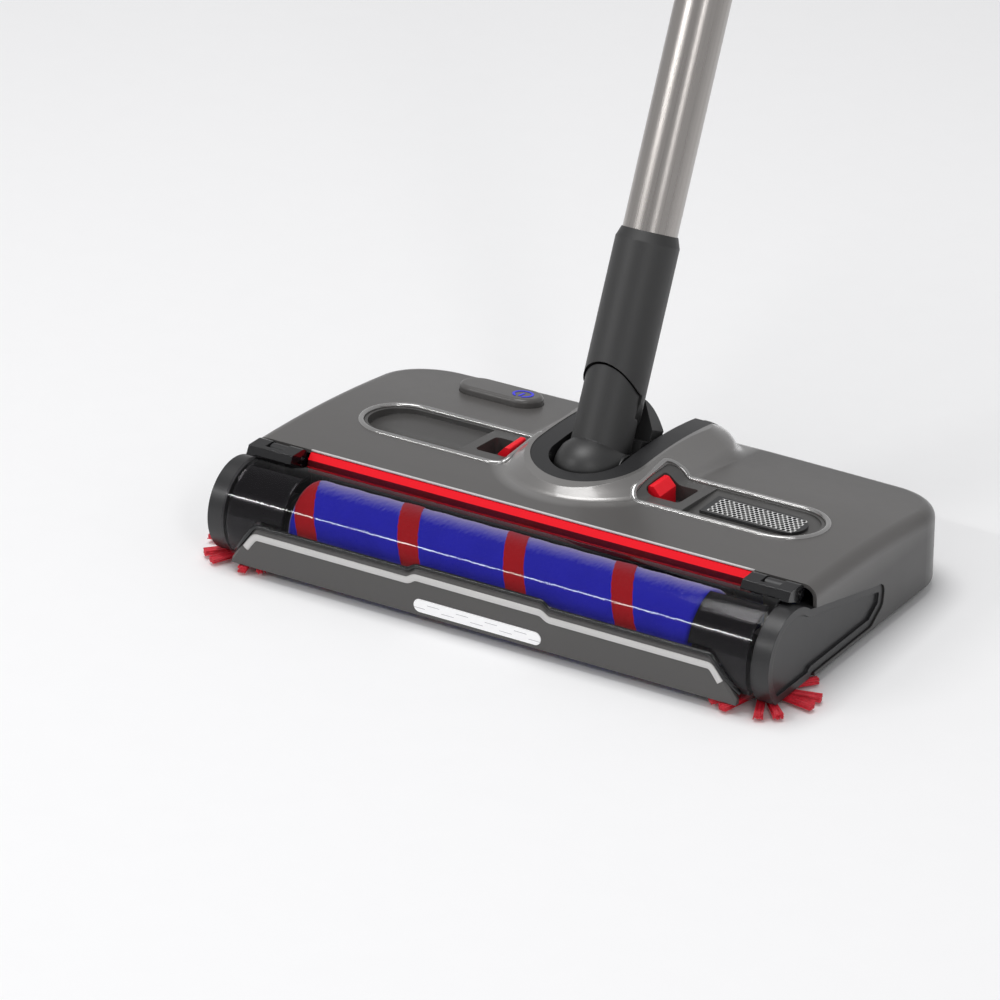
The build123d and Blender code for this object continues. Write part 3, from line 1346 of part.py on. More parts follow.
def belt_plan(grow):
    """The belt's side view: one loop round both pulleys, this far off them."""
    with BuildSketch(Plane.YZ.offset(-PULLEY_X)) as plan:
        with Locations((ROLL_Y, ROLL_Z)):
            Circle(ROLL_PULLEY_R + grow)
        with Locations((MOTOR_Y, MOTOR_Z)):
            Circle(MOTOR_PULLEY_R + grow)
        make_hull()
    return plan.sketch


with BuildPart() as drive_belt:
    extrude(belt_plan(FIT + BELT_T), amount=BELT_W / 2, both=True)
    extrude(belt_plan(FIT), amount=BELT_W, both=True, mode=Mode.SUBTRACT)
drive_belt.part.label = "drive_belt"
export_step(drive_belt.part, "parts/drive_belt.step")

# Corner brushes: gear motor, hub with its shaft, and the bristles on a ring
for name, side in SIDES.items():
    deck_top = DECK_Z + DECK_T
    hub_top = DECK_Z - 2 * FIT
    with BuildPart() as brush_motor:
        with Locations((side * BRUSH_X, BRUSH_Y, deck_top)):
            Box(BRUSH_MOTOR_X, BRUSH_MOTOR_Y, BRUSH_MOTOR_H, align=UP)
            Cylinder(BRUSH_SHAFT_R + RUN, BRUSH_MOTOR_H, mode=Mode.SUBTRACT)
    brush_motor.part.label = f"corner_brush_motor_{name}"
    export_step(brush_motor.part, f"parts/corner_brush_motor_{name}.step")

    with BuildPart() as brush_hub:
        with Locations((side * BRUSH_X, BRUSH_Y, HUB_FOOT)):
            Cylinder(HUB_CORE_R, hub_top - HUB_FOOT, align=UP)
            with Locations((0, 0, BACKING_T)):
                Cylinder(HUB_R, hub_top - HUB_FOOT - BACKING_T, align=UP)
            Cylinder(BRUSH_SHAFT_R, deck_top + BRUSH_MOTOR_H / 3 - HUB_FOOT, align=UP)
    brush_hub.part.label = f"corner_brush_hub_{name}"
    export_step(brush_hub.part, f"parts/corner_brush_hub_{name}.step")

    strand_l = TUFT_R - BACKING_R + STRAND_ROOT
    strand_mid = TUFT_R - strand_l / 2
    strands = []
    for pair in range(TUFT_PAIRS):
        for tuft in (-1, 1):
            for column in range(STRANDS_ACROSS):
                turn = pair * 360 / TUFT_PAIRS + tuft * TUFT_SPLAY
                turn += (column - (STRANDS_ACROSS - 1) / 2) * STRAND_STEP + side * TUFT_LEAD
                for layer in range(STRANDS_DEEP):
                    place = (
                        side * BRUSH_X + strand_mid * cos(radians(turn)),
                        BRUSH_Y + strand_mid * sin(radians(turn)),
                        STRAND_Z + layer * STRAND_LAYER,
                    )
                    strands.append(Location(place, (0, 0, turn)))
    with BuildPart() as brush_bristles:
        with Locations((side * BRUSH_X, BRUSH_Y, HUB_FOOT)):
            Cylinder(BACKING_R, BACKING_T, align=UP)
            Cylinder(HUB_CORE_R, BACKING_T, align=UP, mode=Mode.SUBTRACT)
        with Locations(*strands):
            Box(strand_l, STRAND_SIDE, STRAND_SIDE)
    brush_bristles.part.label = f"corner_brush_bristles_{name}"
    export_step(brush_bristles.part, f"parts/corner_brush_bristles_{name}.step")

# Rear wheels with tyres on fixed axles
for name, side in SIDES.items():
    with BuildPart() as wheel:
        with Locations((side * WHEEL_X, WHEEL_Y, WHEEL_R)):
            Cylinder(WHEEL_R - TYRE_T, WHEEL_W, rotation=(0, 90, 0))
            Cylinder(WHEEL_AXLE_R + RUN, 2 * WHEEL_W, rotation=(0, 90, 0), mode=Mode.SUBTRACT)
    wheel.part.label = f"wheel_{name}"
    export_step(wheel.part, f"parts/wheel_{name}.step")

    with BuildPart() as tyre:
        with Locations((side * WHEEL_X, WHEEL_Y, WHEEL_R)):
            Cylinder(WHEEL_R, WHEEL_W, rotation=(0, 90, 0))
            Cylinder(WHEEL_R - TYRE_T, WHEEL_W, rotation=(0, 90, 0), mode=Mode.SUBTRACT)
    tyre.part.label = f"tyre_{name}"
    export_step(tyre.part, f"parts/tyre_{name}.step")

with BuildPart() as wheel_axles:
    with Locations(*[(side * WHEEL_X, WHEEL_Y, WHEEL_R) for side in SIDES.values()]):
        Cylinder(WHEEL_AXLE_R, WHEEL_W + 2 * FIT + 2 * LUG_T, rotation=(0, 90, 0))
wheel_axles.part.label = "wheel_axles"
export_step(wheel_axles.part, "parts/wheel_axles.step")

# Glide pad that the head rests on in front of the wheels
with BuildPart() as glide_pad:
    with BuildSketch():
        SlotOverall(PAD_L, PAD_W)
    extrude(amount=SKIRT_Z)
glide_pad.part.label = "glide_pad"
export_step(glide_pad.part, "parts/glide_pad.step")

# Dust drawer, pulled out to the back
drawer_back = BACK_Y + 2 * SEAT
with BuildPart() as dust_drawer:
    drawer_l = drawer_back - DRAWER_FRONT
    with Locations((0, DRAWER_FRONT, DRAWER_Z)):
        Box(2 * DRAWER_HALF, drawer_l, DRAWER_H, align=(Align.CENTER, Align.MIN, Align.MIN))
        with Locations((0, DRAWER_T, DRAWER_T)):
            Box(
                2 * (DRAWER_HALF - DRAWER_T),
                drawer_l - 2 * DRAWER_T,
                DRAWER_H,
                align=(Align.CENTER, Align.MIN, Align.MIN),
                mode=Mode.SUBTRACT,
            )
        with Locations((0, 0, DRAWER_LIP)):
            Box(
                2 * (DRAWER_HALF - DRAWER_T),
                4 * DRAWER_T,
                DRAWER_H,
                align=UP,
                mode=Mode.SUBTRACT,
            )
    with Locations((0, drawer_back, SKIRT_Z + DRAWER_FACE_LIFT)):
        Box(
            2 * (DRAWER_HALF + DRAWER_FACE_LIP),
            DRAWER_FACE_T,
            DRAWER_FACE_H,
            align=(Align.CENTER, Align.MIN, Align.MIN),
        )
    face = dust_drawer.faces().sort_by(Axis.Y)[-1]
    fillet(face.edges(), DRAWER_EDGE_R)
    with Locations((0, drawer_back + DRAWER_FACE_T, DRAWER_TOP - PULL_H)):
        Box(PULL_L, PULL_D, PULL_H, align=(Align.CENTER, Align.MIN, Align.MIN))
dust_drawer.part.label = "dust_drawer"
export_step(dust_drawer.part, "parts/dust_drawer.step")

# Battery and charging socket
battery_in = DRAWER_HALF + FIT + RAIL_T + BATTERY_GAP
battery_l = CAP_IN - RAIL_T - BATTERY_END - battery_in
with BuildPart() as battery_pack:
    with Locations((battery_in, BATTERY_Y, FLOOR_Z)):
        Box(battery_l, BATTERY_W, BATTERY_H, align=(Align.MIN, Align.CENTER, Align.MIN))
    fillet(battery_pack.edges().filter_by(Axis.Y), BATTERY_EDGE_R)
battery_pack.part.label = "battery_pack"
export_step(battery_pack.part, "parts/battery_pack.step")

with BuildPart() as charge_socket:
    with Locations((-HALF, SOCKET_Y, SOCKET_Z)):
        Cylinder(SOCKET_R, SOCKET_L, rotation=(0, 90, 0), align=UP)
        bore_l = SOCKET_L - SOCKET_END_T
        Cylinder(SOCKET_BORE_R, bore_l, rotation=(0, 90, 0), align=UP, mode=Mode.SUBTRACT)
charge_socket.part.label = "charge_socket"
export_step(charge_socket.part, "parts/charge_socket.step")
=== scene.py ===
# %% [markdown]
# A cordless floor sweeper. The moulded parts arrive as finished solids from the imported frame, and this
# lesson gives them their finishes, adds the soft pieces (the spiral roll and the corner brushes), and lights
# the scene like a plain product photograph. Everything is in metres, with +Z up and the roll towards -Y.

# %% Load the frame
import json
from math import cos, pi, radians, sin

import bpy
import numpy as np
from mathutils import Matrix, Vector


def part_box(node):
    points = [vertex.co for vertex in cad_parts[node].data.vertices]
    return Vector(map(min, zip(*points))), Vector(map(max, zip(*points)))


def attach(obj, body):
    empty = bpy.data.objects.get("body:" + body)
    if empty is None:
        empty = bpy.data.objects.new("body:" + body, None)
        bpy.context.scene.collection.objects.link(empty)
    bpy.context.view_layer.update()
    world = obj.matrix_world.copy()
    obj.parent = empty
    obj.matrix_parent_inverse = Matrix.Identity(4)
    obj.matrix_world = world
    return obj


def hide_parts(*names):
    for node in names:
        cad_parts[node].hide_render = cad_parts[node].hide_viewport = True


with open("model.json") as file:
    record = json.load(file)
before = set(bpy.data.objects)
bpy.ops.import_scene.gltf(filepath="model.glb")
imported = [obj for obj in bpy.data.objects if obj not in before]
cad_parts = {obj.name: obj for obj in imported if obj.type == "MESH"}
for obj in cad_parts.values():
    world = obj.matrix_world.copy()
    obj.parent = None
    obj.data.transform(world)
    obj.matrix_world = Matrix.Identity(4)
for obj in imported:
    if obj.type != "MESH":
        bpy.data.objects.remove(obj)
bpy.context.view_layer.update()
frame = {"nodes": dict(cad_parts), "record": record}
nodes = frame["nodes"]
scene = bpy.context.scene

# %% [markdown]
# The camera stands at the photograph's viewing angle. A long lens far away keeps the head's two ends nearly
# the same size, as they are in the picture. It is placed by an azimuth, an elevation and a distance round a
# point near the middle of the head, which is easier to adjust than a bare position.

# %% Camera
AIM = Vector((-0.03013, -0.02427, 0.05011))
AZIMUTH = radians(31.86)
ELEVATION = radians(25.39)
DISTANCE = 2.94315
ROLL = radians(0.27)
LENS = 187.8


def camera_frame(azimuth, elevation, roll):
    """Right, up and backward axes of a camera on a sphere round its aim, turned about its own axis."""
    back = Vector((sin(azimuth) * cos(elevation), -cos(azimuth) * cos(elevation), sin(elevation)))
    right = (-back).cross(Vector((0, 0, 1))).normalized()
    up = right.cross(-back)
    return right * cos(roll) + up * sin(roll), up * cos(roll) - right * sin(roll), back


right, up, back = camera_frame(AZIMUTH, ELEVATION, ROLL)
lens = bpy.data.cameras.new("camera")
lens.lens = LENS
lens.sensor_width = 36.0
lens.clip_end = 50.0
camera = bpy.data.objects.new("camera", lens)
camera.matrix_world = Matrix((right, up, back)).transposed().to_4x4()
camera.matrix_world.translation = AIM + back * DISTANCE
scene.collection.objects.link(camera)
scene.camera = camera
print("camera at", [round(v, 3) for v in camera.matrix_world.translation])

# %% [markdown]
# Finishes are written as node graphs. So that a graph reads like a formula, one small class wraps a socket
# and overloads the arithmetic: adding two wires adds a Math node.


# %% Sockets that add up
class Wire:
    """One output socket; plain arithmetic on it adds Math nodes."""

    def __init__(self, tree, socket):
        self.tree = tree
        self.socket = socket

    def math(self, operation, first, second=None):
        node = self.tree.nodes.new("ShaderNodeMath")
        node.operation = operation
        for place, value in enumerate((first, second)):
            if isinstance(value, Wire):
                self.tree.links.new(value.socket, node.inputs[place])
            elif value is not None:
                node.inputs[place].default_value = value
        return Wire(self.tree, node.outputs[0])

    def __add__(self, other):
        return self.math("ADD", self, other)

    def __radd__(self, other):
        return self.math("ADD", other, self)

    def __sub__(self, other):
        return self.math("SUBTRACT", self, other)

    def __rsub__(self, other):
        return self.math("SUBTRACT", other, self)

    def __mul__(self, other):
        return self.math("MULTIPLY", self, other)

    def __rmul__(self, other):
        return self.math("MULTIPLY", other, self)

    def __truediv__(self, other):
        return self.math("DIVIDE", self, other)

    def __rtruediv__(self, other):
        return self.math("DIVIDE", other, self)

    def __pow__(self, other):
        return self.math("POWER", self, other)

    def __gt__(self, other):
        return self.math("GREATER_THAN", self, other)

    def __lt__(self, other):
        return self.math("LESS_THAN", self, other)

    def fraction(self):
        return self.math("FRACT", self)

    def size(self):
        return self.math("ABSOLUTE", self)

    def at_least(self, floor):
        return self.math("MAXIMUM", self, floor)

    def at_most(self, ceiling):
        return self.math("MINIMUM", self, ceiling)

    def clamped(self):
        return self.at_least(0.0).at_most(1.0)


print("arithmetic on sockets ready")

# %% [markdown]
# Every node other than plain arithmetic comes from one method, which takes the node's type, its settings and
# what feeds its sockets. A finish is such a graph with a shader at its end. A number or colour that is the
# same all over a surface is set on the shader's own socket, and only what varies arrives by a wire.

# %% Graphs and finishes
# The places of the colour sockets on a Mix node.
MIX_A, MIX_B, MIX_OUT = 6, 7, 2


class Graph:
    """A node tree, and the nodes that any tree may need."""

    def __init__(self, tree):
        self.tree = tree

    def node(self, kind, settings=None, inputs=None, out=0):
        """Any node: its settings first, then its sockets' values or links; gives one output as a wire."""
        node = self.tree.nodes.new(kind)
        for key, value in (settings or {}).items():
            if key == "stops":
                for element, (place, colour) in zip(node.color_ramp.elements, value):
                    element.position = place
                    element.color = (*colour, 1.0)
            else:
                setattr(node, key, value)
        for key, value in (inputs or {}).items():
            if isinstance(value, Wire):
                self.tree.links.new(value.socket, node.inputs[key])
            else:
                node.inputs[key].default_value = value
        return Wire(self.tree, node.outputs[out])

    def ramp(self, factor, low, high):
        """A colour between two, by a wire from 0 to 1."""
        stops = [(0.0, low), (1.0, high)]
        return self.node("ShaderNodeValToRGB", {"stops": stops}, {"Fac": factor})

    def mix(self, factor, first, second):
        """One colour or the other, each a wire or three numbers, by a wire from 0 to 1."""
        inputs = {"Factor": factor}
        for socket, colour in ((MIX_A, first), (MIX_B, second)):
            inputs[socket] = colour if isinstance(colour, Wire) else (*colour, 1.0)
        return self.node("ShaderNodeMix", {"data_type": "RGBA"}, inputs, MIX_OUT)


class Finish(Graph):
    """A material: constants set on its shader's own sockets, and wires for what varies over the surface."""

    def __init__(self, name, **constants):
        self.material = bpy.data.materials.new(name)
        self.material.use_nodes = True
        super().__init__(self.material.node_tree)
        self.shader = self.tree.nodes["Principled BSDF"]
        self.output = self.tree.nodes["Material Output"]
        for socket, value in constants.items():
            self.shader.inputs[socket.replace("_", " ")].default_value = value

    def place(self):
        """Object coordinates, in metres."""
        return self.node("ShaderNodeTexCoord", out="Object")

    def axes(self):
        """Object coordinates as three wires."""
        split = self.node("ShaderNodeSeparateXYZ", inputs={"Vector": self.place()}).socket.node
        return [Wire(self.tree, socket) for socket in split.outputs]

    def noise(self, scale, detail=2.0):
        """Noise from 0 to 1 on Object coordinates, finer with scale."""
        inputs = {"Vector": self.place(), "Scale": scale, "Detail": detail}
        return self.node("ShaderNodeTexNoise", inputs=inputs)

    def feed(self, socket, wire):
        """Links a wire to one of the shader's own sockets."""
        self.tree.links.new(wire.socket, self.shader.inputs[socket])

    def bump(self, height, depth, strength=1.0, round_edges=0.0):
        """Relief by a height wire, in metres, on edges that are softened over a small radius."""
        inputs = {"Height": height, "Distance": depth, "Strength": strength}
        if round_edges:
            inputs["Normal"] = self.node("ShaderNodeBevel", {"samples": 4}, {"Radius": round_edges})
        self.feed("Normal", self.node("ShaderNodeBump", inputs=inputs))


def shade(colour, share):
    """A colour made darker or paler by a share, and never over full."""
    return tuple(min(1.0, share * c) for c in colour)


print("graphs and finishes ready")

# %% [markdown]
# Most of the head is moulded plastic. Moulding leaves three things that a flat colour lacks: a fine spark
# grain from the tool, slow shifts of tone and gloss where the plastic cooled, and edges that are never
# perfectly sharp. The first two come from noise on Object coordinates, and the soft edges from a small bevel
# in the normal, which catches the light along every rim.


# %% Moulded plastics
def moulded_finish(name, colour, roughness, grain, edge=0.0005, gloss=0.5, **constants):
    """Moulded plastic: tone shifts by slow noise, gloss by a middle noise, and grain by fine noise."""
    finish = Finish(name, Specular_IOR_Level=gloss, **constants)
    slow = finish.noise(9.0, 3.0)
    middle = finish.noise(90.0, 4.0)
    fine = finish.noise(2600.0, 2.0)
    finish.tone = finish.ramp(slow * 0.7 + fine * 0.3, shade(colour, 0.90), shade(colour, 1.10))
    finish.feed("Base Color", finish.tone)
    finish.feed("Roughness", roughness - 0.04 + middle * 0.06 + slow * 0.02)
    finish.bump(fine, grain, 1.0, edge)
    return finish


def moulded(*sizes, **constants):
    """The material of a moulded finish."""
    return moulded_finish(*sizes, **constants).material


GRAY = (0.098, 0.094, 0.091)
DARK = (0.020, 0.020, 0.021)
NECK = (0.012, 0.012, 0.012)
TRAY = (0.070, 0.068, 0.066)
finishes = {
    "body_gray": moulded("body_gray", GRAY, 0.34, 0.00001, Coat_Weight=0.1),
    # The front panel's gray is the body's gray darkened: painted shade.
    "fascia_gray": moulded("fascia_gray", shade(GRAY, 0.72), 0.32, 0.00002, gloss=0.6),
    # A pale silver for the bead and the brow: painted highlight.
    "satin_silver": moulded("satin_silver", (0.62, 0.61, 0.60), 0.30, 0.00001, gloss=0.6),
    "dark_gray": moulded("dark_gray", DARK, 0.36, 0.00002),
    "neck_gray": moulded("neck_gray", NECK, 0.50, 0.00001, gloss=0.85),
    "tray_gray": moulded("tray_gray", TRAY, 0.34, 0.00003, gloss=0.6),
    "black_gloss": moulded("black_gloss", (0.007, 0.007, 0.008), 0.13, 0.000006),
    "smoked": moulded("smoked", (0.006, 0.006, 0.007), 0.12, 0.0000005, 0.0, gloss=0.35),
    "red_plastic": moulded("red_plastic", (0.93, 0.011, 0.024), 0.32, 0.00001, 0.0004, gloss=0.2),
    "pale_plastic": moulded("pale_plastic", (0.52, 0.51, 0.48), 0.45, 0.00003),
    "black_rubber": moulded("black_rubber", (0.016, 0.016, 0.016), 0.62, 0.00012),
    "battery_wrap": moulded("battery_wrap", (0.02, 0.05, 0.20), 0.28, 0.00004),
}
print("moulded finishes:", ", ".join(finishes))

# %% [markdown]
# The cover is one moulding with two treatments. Round the neck's well its collar has a polished, metal-like
# gloss, and its colour there is mixed towards a pale silver as a painted highlight. Its flanks are darker
# than
# its top: painted shade. Separate pieces would show a seam that the real cover lacks, so one finish changes
# over the surface: by the distance from the well for the polish and the painted highlight, and by height for
# the painted shade on the flanks.

# %% Cover with a polished collar, a painted highlight and painted shade
WELL_Y = 0.026
COLLAR_REACH, COLLAR_FADE = 0.058, 0.008
# The collar's pale silver colour is a painted highlight; its metal and coat add real gloss.
COLLAR_PAINTED_HIGHLIGHT = (0.40, 0.39, 0.38)
COVER_COAT, COLLAR_COAT, COLLAR_METAL, COLLAR_HIGHLIGHT_SHARE = 0.1, 0.9, 0.55, 0.5
# The flanks are darkened below FLANK_Z: painted shade.
FLANK_Z, FLANK_FADE, FLANK_PAINTED_SHADE = 0.036, 0.016, 0.34


def cover_plastic(name, colour, roughness):
    """The cover's plastic: polish and a painted highlight fade from the well; painted shade darkens the
    skirt.

    The well is a slot, round in front and straight behind, so only the distance ahead of it counts in y.
    """
    finish = moulded_finish(name, colour, roughness, 0.000006, gloss=0.6, Coat_Roughness=0.14)
    x, y, z = finish.axes()
    ahead = (y - WELL_Y).at_most(0.0)
    out = (x**2.0 + ahead**2.0) ** 0.5
    collar = ((COLLAR_REACH - out) / COLLAR_FADE).clamped()
    finish.feed("Coat Weight", collar * COLLAR_COAT + COVER_COAT)
    finish.feed("Metallic", collar * COLLAR_METAL)
    height = ((z - FLANK_Z) / FLANK_FADE).clamped()
    # Painted shade: the tone darkens from the top down to the skirt.
    body = finish.mix(height, shade(colour, FLANK_PAINTED_SHADE), finish.tone)
    # Painted highlight: the collar's colour is mixed towards a pale silver.
    finish.feed("Base Color", finish.mix(collar * COLLAR_HIGHLIGHT_SHARE, body, COLLAR_PAINTED_HIGHLIGHT))
    return finish.material


finishes["cover_gray"] = cover_plastic("cover_gray", GRAY, 0.34)
print("cover finish: cover_gray, polished to", COLLAR_REACH, "m from the middle of the well")

# %% [markdown]
# The red strip in front of the cover has a bright slanted face, and below it a deep, dull face: painted
# shade.
# Two solids could show that, but the strip is one moulding. The faces meet at one height, so a comparison
# with z tells them apart.

# %% Red strip
STRIP_FACE = 0.0032


def red_with_painted_shade(name, bright, deep, edge):
    """Red moulding whose slanted face is bright and whose face below a height is a dark red: painted shade.
    """
    finish = Finish(name, Specular_IOR_Level=0.15)
    z = finish.axes()[2]
    grain = finish.noise(1200.0, 2.0)
    shine = finish.ramp(grain, shade(bright, 0.94), bright)
    # Painted shade: below the edge the face takes the dark red.
    finish.feed("Base Color", finish.mix(z < edge, shine, deep))
    finish.feed("Roughness", 0.34 + grain * 0.08)
    finish.bump(grain, 0.00001)
    return finish.material


strip_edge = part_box("red_trim_strip")[1].z - STRIP_FACE
finishes["strip_red"] = red_with_painted_shade("strip_red", (0.96, 0.008, 0.020), (0.17, 0.012, 0.018), strip_edge)
print("strip finish: strip_red, two tones that meet at z", round(strip_edge, 4))

# %% [markdown]
# The vent is a silver net in a dark frame. The plate's holes are real, but on the real net they read as
# larger dark dots, so the finish paints shade on their walls and in a narrow ring round each hole, and it
# darkens the plate's border.
# The rings follow the same two grids as the holes: the fraction of a distance over the pitch gives the place
# within one cell.

# %% Vent grille
HOLE_PITCH, HOLE_ROWS, HOLE_SHADE_RING = 0.0031, 0.0044, 0.00118
GRILLE_FRAME, NET_HALF, FACE_SKIN = 0.0035, 0.0090, 0.0002


def grille_silver(name, colour, roughness, dark):
    """Silver net in a dark frame: painted shade in a ring round every hole and on the hole walls, and a dark
    border.

    The holes stand in two grids, half a pitch apart; the distance to the nearest one draws its ring.
    """
    finish = moulded_finish(name, colour, roughness, 0.00001, 0.0002, gloss=0.7)
    x, y, z = finish.axes()
    low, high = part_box("vent_grille")
    along = x - (low.x + high.x) / 2
    across = y - (low.y + high.y) / 2
    rings = []
    for grid in (-1, 1):
        column = ((along / HOLE_PITCH - grid / 4 + 0.5).fraction() - 0.5) * HOLE_PITCH
        line = ((across / HOLE_ROWS - (2 + grid) / 4 + 0.5).fraction() - 0.5) * HOLE_ROWS
        # Painted shade: a dark ring round each hole makes it read larger.
        rings.append((column**2.0 + line**2.0) ** 0.5 < HOLE_SHADE_RING)
    border = (along.size() > (high.x - low.x) / 2 - GRILLE_FRAME) + (across.size() > NET_HALF)
    # Painted shade on the hole walls below the top face; the border is the dark frame.
    shade_or_frame = rings[0] + rings[1] + border + (z < high.z - FACE_SKIN)
    finish.feed("Base Color", finish.mix(shade_or_frame.clamped(), finish.tone, dark))
    return finish.material


finishes["silver_grille"] = grille_silver("silver_grille", (0.74, 0.74, 0.73), 0.30, (0.018, 0.018, 0.019))
print("grille finish: silver_grille, holes", HOLE_PITCH, "m apart")

# %% [markdown]
# The pole is a drawn steel tube, brushed along its length. Brushing shows as fine streaks that run with the
# tube, so the noise is squeezed hard across it and hardly at all along it. The pole leans, so a Mapping node
# turns the pattern to lie along the pole before it is stretched.

# %% Metals
LEAN = radians(24.4)


def brushed(name, colour, roughness, streak, across=900.0, along=6.0):
    """Brushed metal: streak noise in a frame turned with the pole, for tone, roughness and relief."""
    finish = Finish(name, Metallic=1.0)
    lean = {"Vector": finish.place(), "Rotation": (LEAN, 0.0, 0.0)}
    turned = finish.node("ShaderNodeMapping", inputs=lean)
    squeezed = finish.node("ShaderNodeMapping", inputs={"Vector": turned, "Scale": (across, across, along)})
    streaks = finish.node("ShaderNodeTexNoise", inputs={"Vector": squeezed, "Scale": 1.0, "Detail": 3.0})
    cloud = finish.noise(14.0, 2.0)
    finish.feed("Base Color", finish.ramp(streaks, shade(colour, 0.82), colour))
    finish.feed("Roughness", roughness - 0.05 + streaks * 0.10 + cloud * 0.05)
    finish.bump(streaks, streak)
    return finish.material


finishes["tube_metal"] = brushed("tube_metal", (0.47, 0.445, 0.425), 0.26, 0.00002)
finishes["steel"] = brushed("steel", (0.60, 0.60, 0.60), 0.28, 0.00001, 1500.0, 40.0)
print("metal finishes: tube_metal, steel")

# %% [markdown]
# The hood is clear plastic with a light smoke tint. A real clear moulding passes light straight through and
# mirrors only a little of the room, more at its edges. A full refracting glass would darken the roll below,
# so the hood mixes a tinted pass-through with a mirror by Fresnel, which keeps the roll bright. The mirror
# counts only where a ray enters the plastic, so that a highlight is drawn once. The hood is part of a round
# about the roll, so its normal is worked out, straight away from the roll's axis, and shows no facets.

# %% Clear hood
ROLL_Y, ROLL_Z = -0.066, 0.027
CLEAR_IOR, MIRROR_POWER = 1.46, 1.35


def clear_plastic(name, tint, haze):
    """Clear sheet: a tinted pass-through, and a mirror on its front face that grows at grazing angles."""
    finish = Finish(name, Metallic=1.0, Roughness=0.06)
    finish.shader.inputs["Base Color"].default_value = (0.95, 0.95, 0.96, 1.0)
    through = finish.node("ShaderNodeBsdfTransparent", inputs={"Color": (*tint, 1.0)})
    y, z = finish.axes()[1:]
    away = finish.node("ShaderNodeCombineXYZ", inputs={"Y": y - ROLL_Y, "Z": z - ROLL_Z})
    turn = {"vector_type": "NORMAL", "convert_from": "OBJECT", "convert_to": "WORLD"}
    normal = finish.node("ShaderNodeVectorTransform", turn, {"Vector": away})
    normal = finish.node("ShaderNodeVectorMath", {"operation": "NORMALIZE"}, {0: normal})
    finish.feed("Normal", normal)
    share = finish.node("ShaderNodeFresnel", inputs={"IOR": CLEAR_IOR, "Normal": normal})
    inside = finish.node("ShaderNodeNewGeometry", out="Backfacing")
    dust = finish.noise(60.0, 4.0)
    inputs = {"Fac": (share**MIRROR_POWER + haze * dust) * (1.0 - inside), 1: through}
    mixed = finish.node("ShaderNodeMixShader", inputs=inputs)
    finish.tree.links.new(finish.shader.outputs[0], mixed.socket.node.inputs[2])
    finish.tree.links.new(mixed.socket, finish.output.inputs["Surface"])
    return finish.material


finishes["clear_hood"] = clear_plastic("clear_hood", (0.86, 0.85, 0.86), 0.006)
print("clear finish: clear_hood")

# %% [markdown]
# The lit symbol on the button, the light bar and the boards inside get finishes of their own: a glow for the
# symbol, a white diffuser with the dark dashes of its lamps for the bar, and green mask with copper runs for
# the boards. Images could give these patterns, but each is regular, so distances and a brick pattern do it.

# %% Lit symbol, light bar and boards
LENS_Z, DASH_HALF = 0.012, 0.0003


def lit_symbol(name, colour, strength):
    """A glowing face whose colour and glow vary a little by a fine noise."""
    finish = Finish(name, Roughness=0.3, Emission_Strength=strength)
    grain = finish.noise(900.0, 1.0)
    finish.feed("Base Color", finish.ramp(grain, shade(colour, 0.7), colour))
    finish.feed("Emission Color", finish.ramp(grain, shade(colour, 0.8), colour))
    return finish.material


def circuit_board(name):
    """Green mask with copper runs: thin bright lines where a coarse brick pattern has its joints."""
    finish = Finish(name, Roughness=0.35)
    bricks = {"Vector": finish.place(), "Scale": 90.0, "Mortar Size": 0.03, "Mortar Smooth": 0.2}
    runs = finish.node("ShaderNodeTexBrick", inputs=bricks, out="Fac")
    finish.feed("Base Color", finish.mix(runs, (0.010, 0.110, 0.045), (0.05, 0.24, 0.09)))
    finish.bump(runs, 0.00005)
    return finish.material


def led_window(name, pitch, dash, row):
    """A white diffuser with faint dark dashes, one for each lamp behind it, in two staggered rows."""
    finish = Finish(name, Roughness=0.28, Emission_Strength=0.16)
    x, z = finish.axes()[::2]
    grain = finish.noise(1800.0, 2.0)
    upper = ((x / pitch).fraction() - 0.5).size() < dash
    lower = ((x / pitch + 0.5).fraction() - 0.5).size() < dash
    near_upper = (z - LENS_Z - row).size() < DASH_HALF
    near_lower = (z - LENS_Z + row).size() < DASH_HALF
    marks = upper * near_upper + lower * near_lower
    white = finish.ramp(grain, (0.84, 0.84, 0.85), (0.92, 0.92, 0.93))
    finish.feed("Base Color", finish.mix(marks * 0.35, white, (0.12, 0.12, 0.13)))
    finish.feed("Emission Color", finish.mix(marks, (1.0, 1.0, 1.0), (0.3, 0.3, 0.3)))
    finish.bump(grain, 0.00002)
    return finish.material


finishes["white_lens"] = led_window("white_lens", 0.0190, 0.22, 0.0013)
finishes["blue_icon"] = lit_symbol("blue_icon", (0.018, 0.014, 0.62), 0.4)
finishes["circuit_board"] = circuit_board("circuit_board")
print("small finishes: white_lens, blue_icon, circuit_board")

# %% [markdown]
# The roll is wrapped in short blue pile with one red band that winds round it. The pile is a tight velvet, so
# it reads as a soft sleeve: deep where it faces the eye and paler along its edges, where a painted sheen
# mixes a pale colour into its base colour at grazing angles. The band is part of the same finish, drawn by
# the angle round the roll plus the distance along it, so it turns with the roll.

# %% Pile of the roll
PITCH = 0.0695
BAND = 0.0135
BAND_EDGE = 0.0138
SHEEN_START, SHEEN_POWER, SHEEN_DEPTH = 0.36, 1.2, 0.8
BAND_LESS_SHEEN, BAND_WOBBLE = 0.85, 0.0012


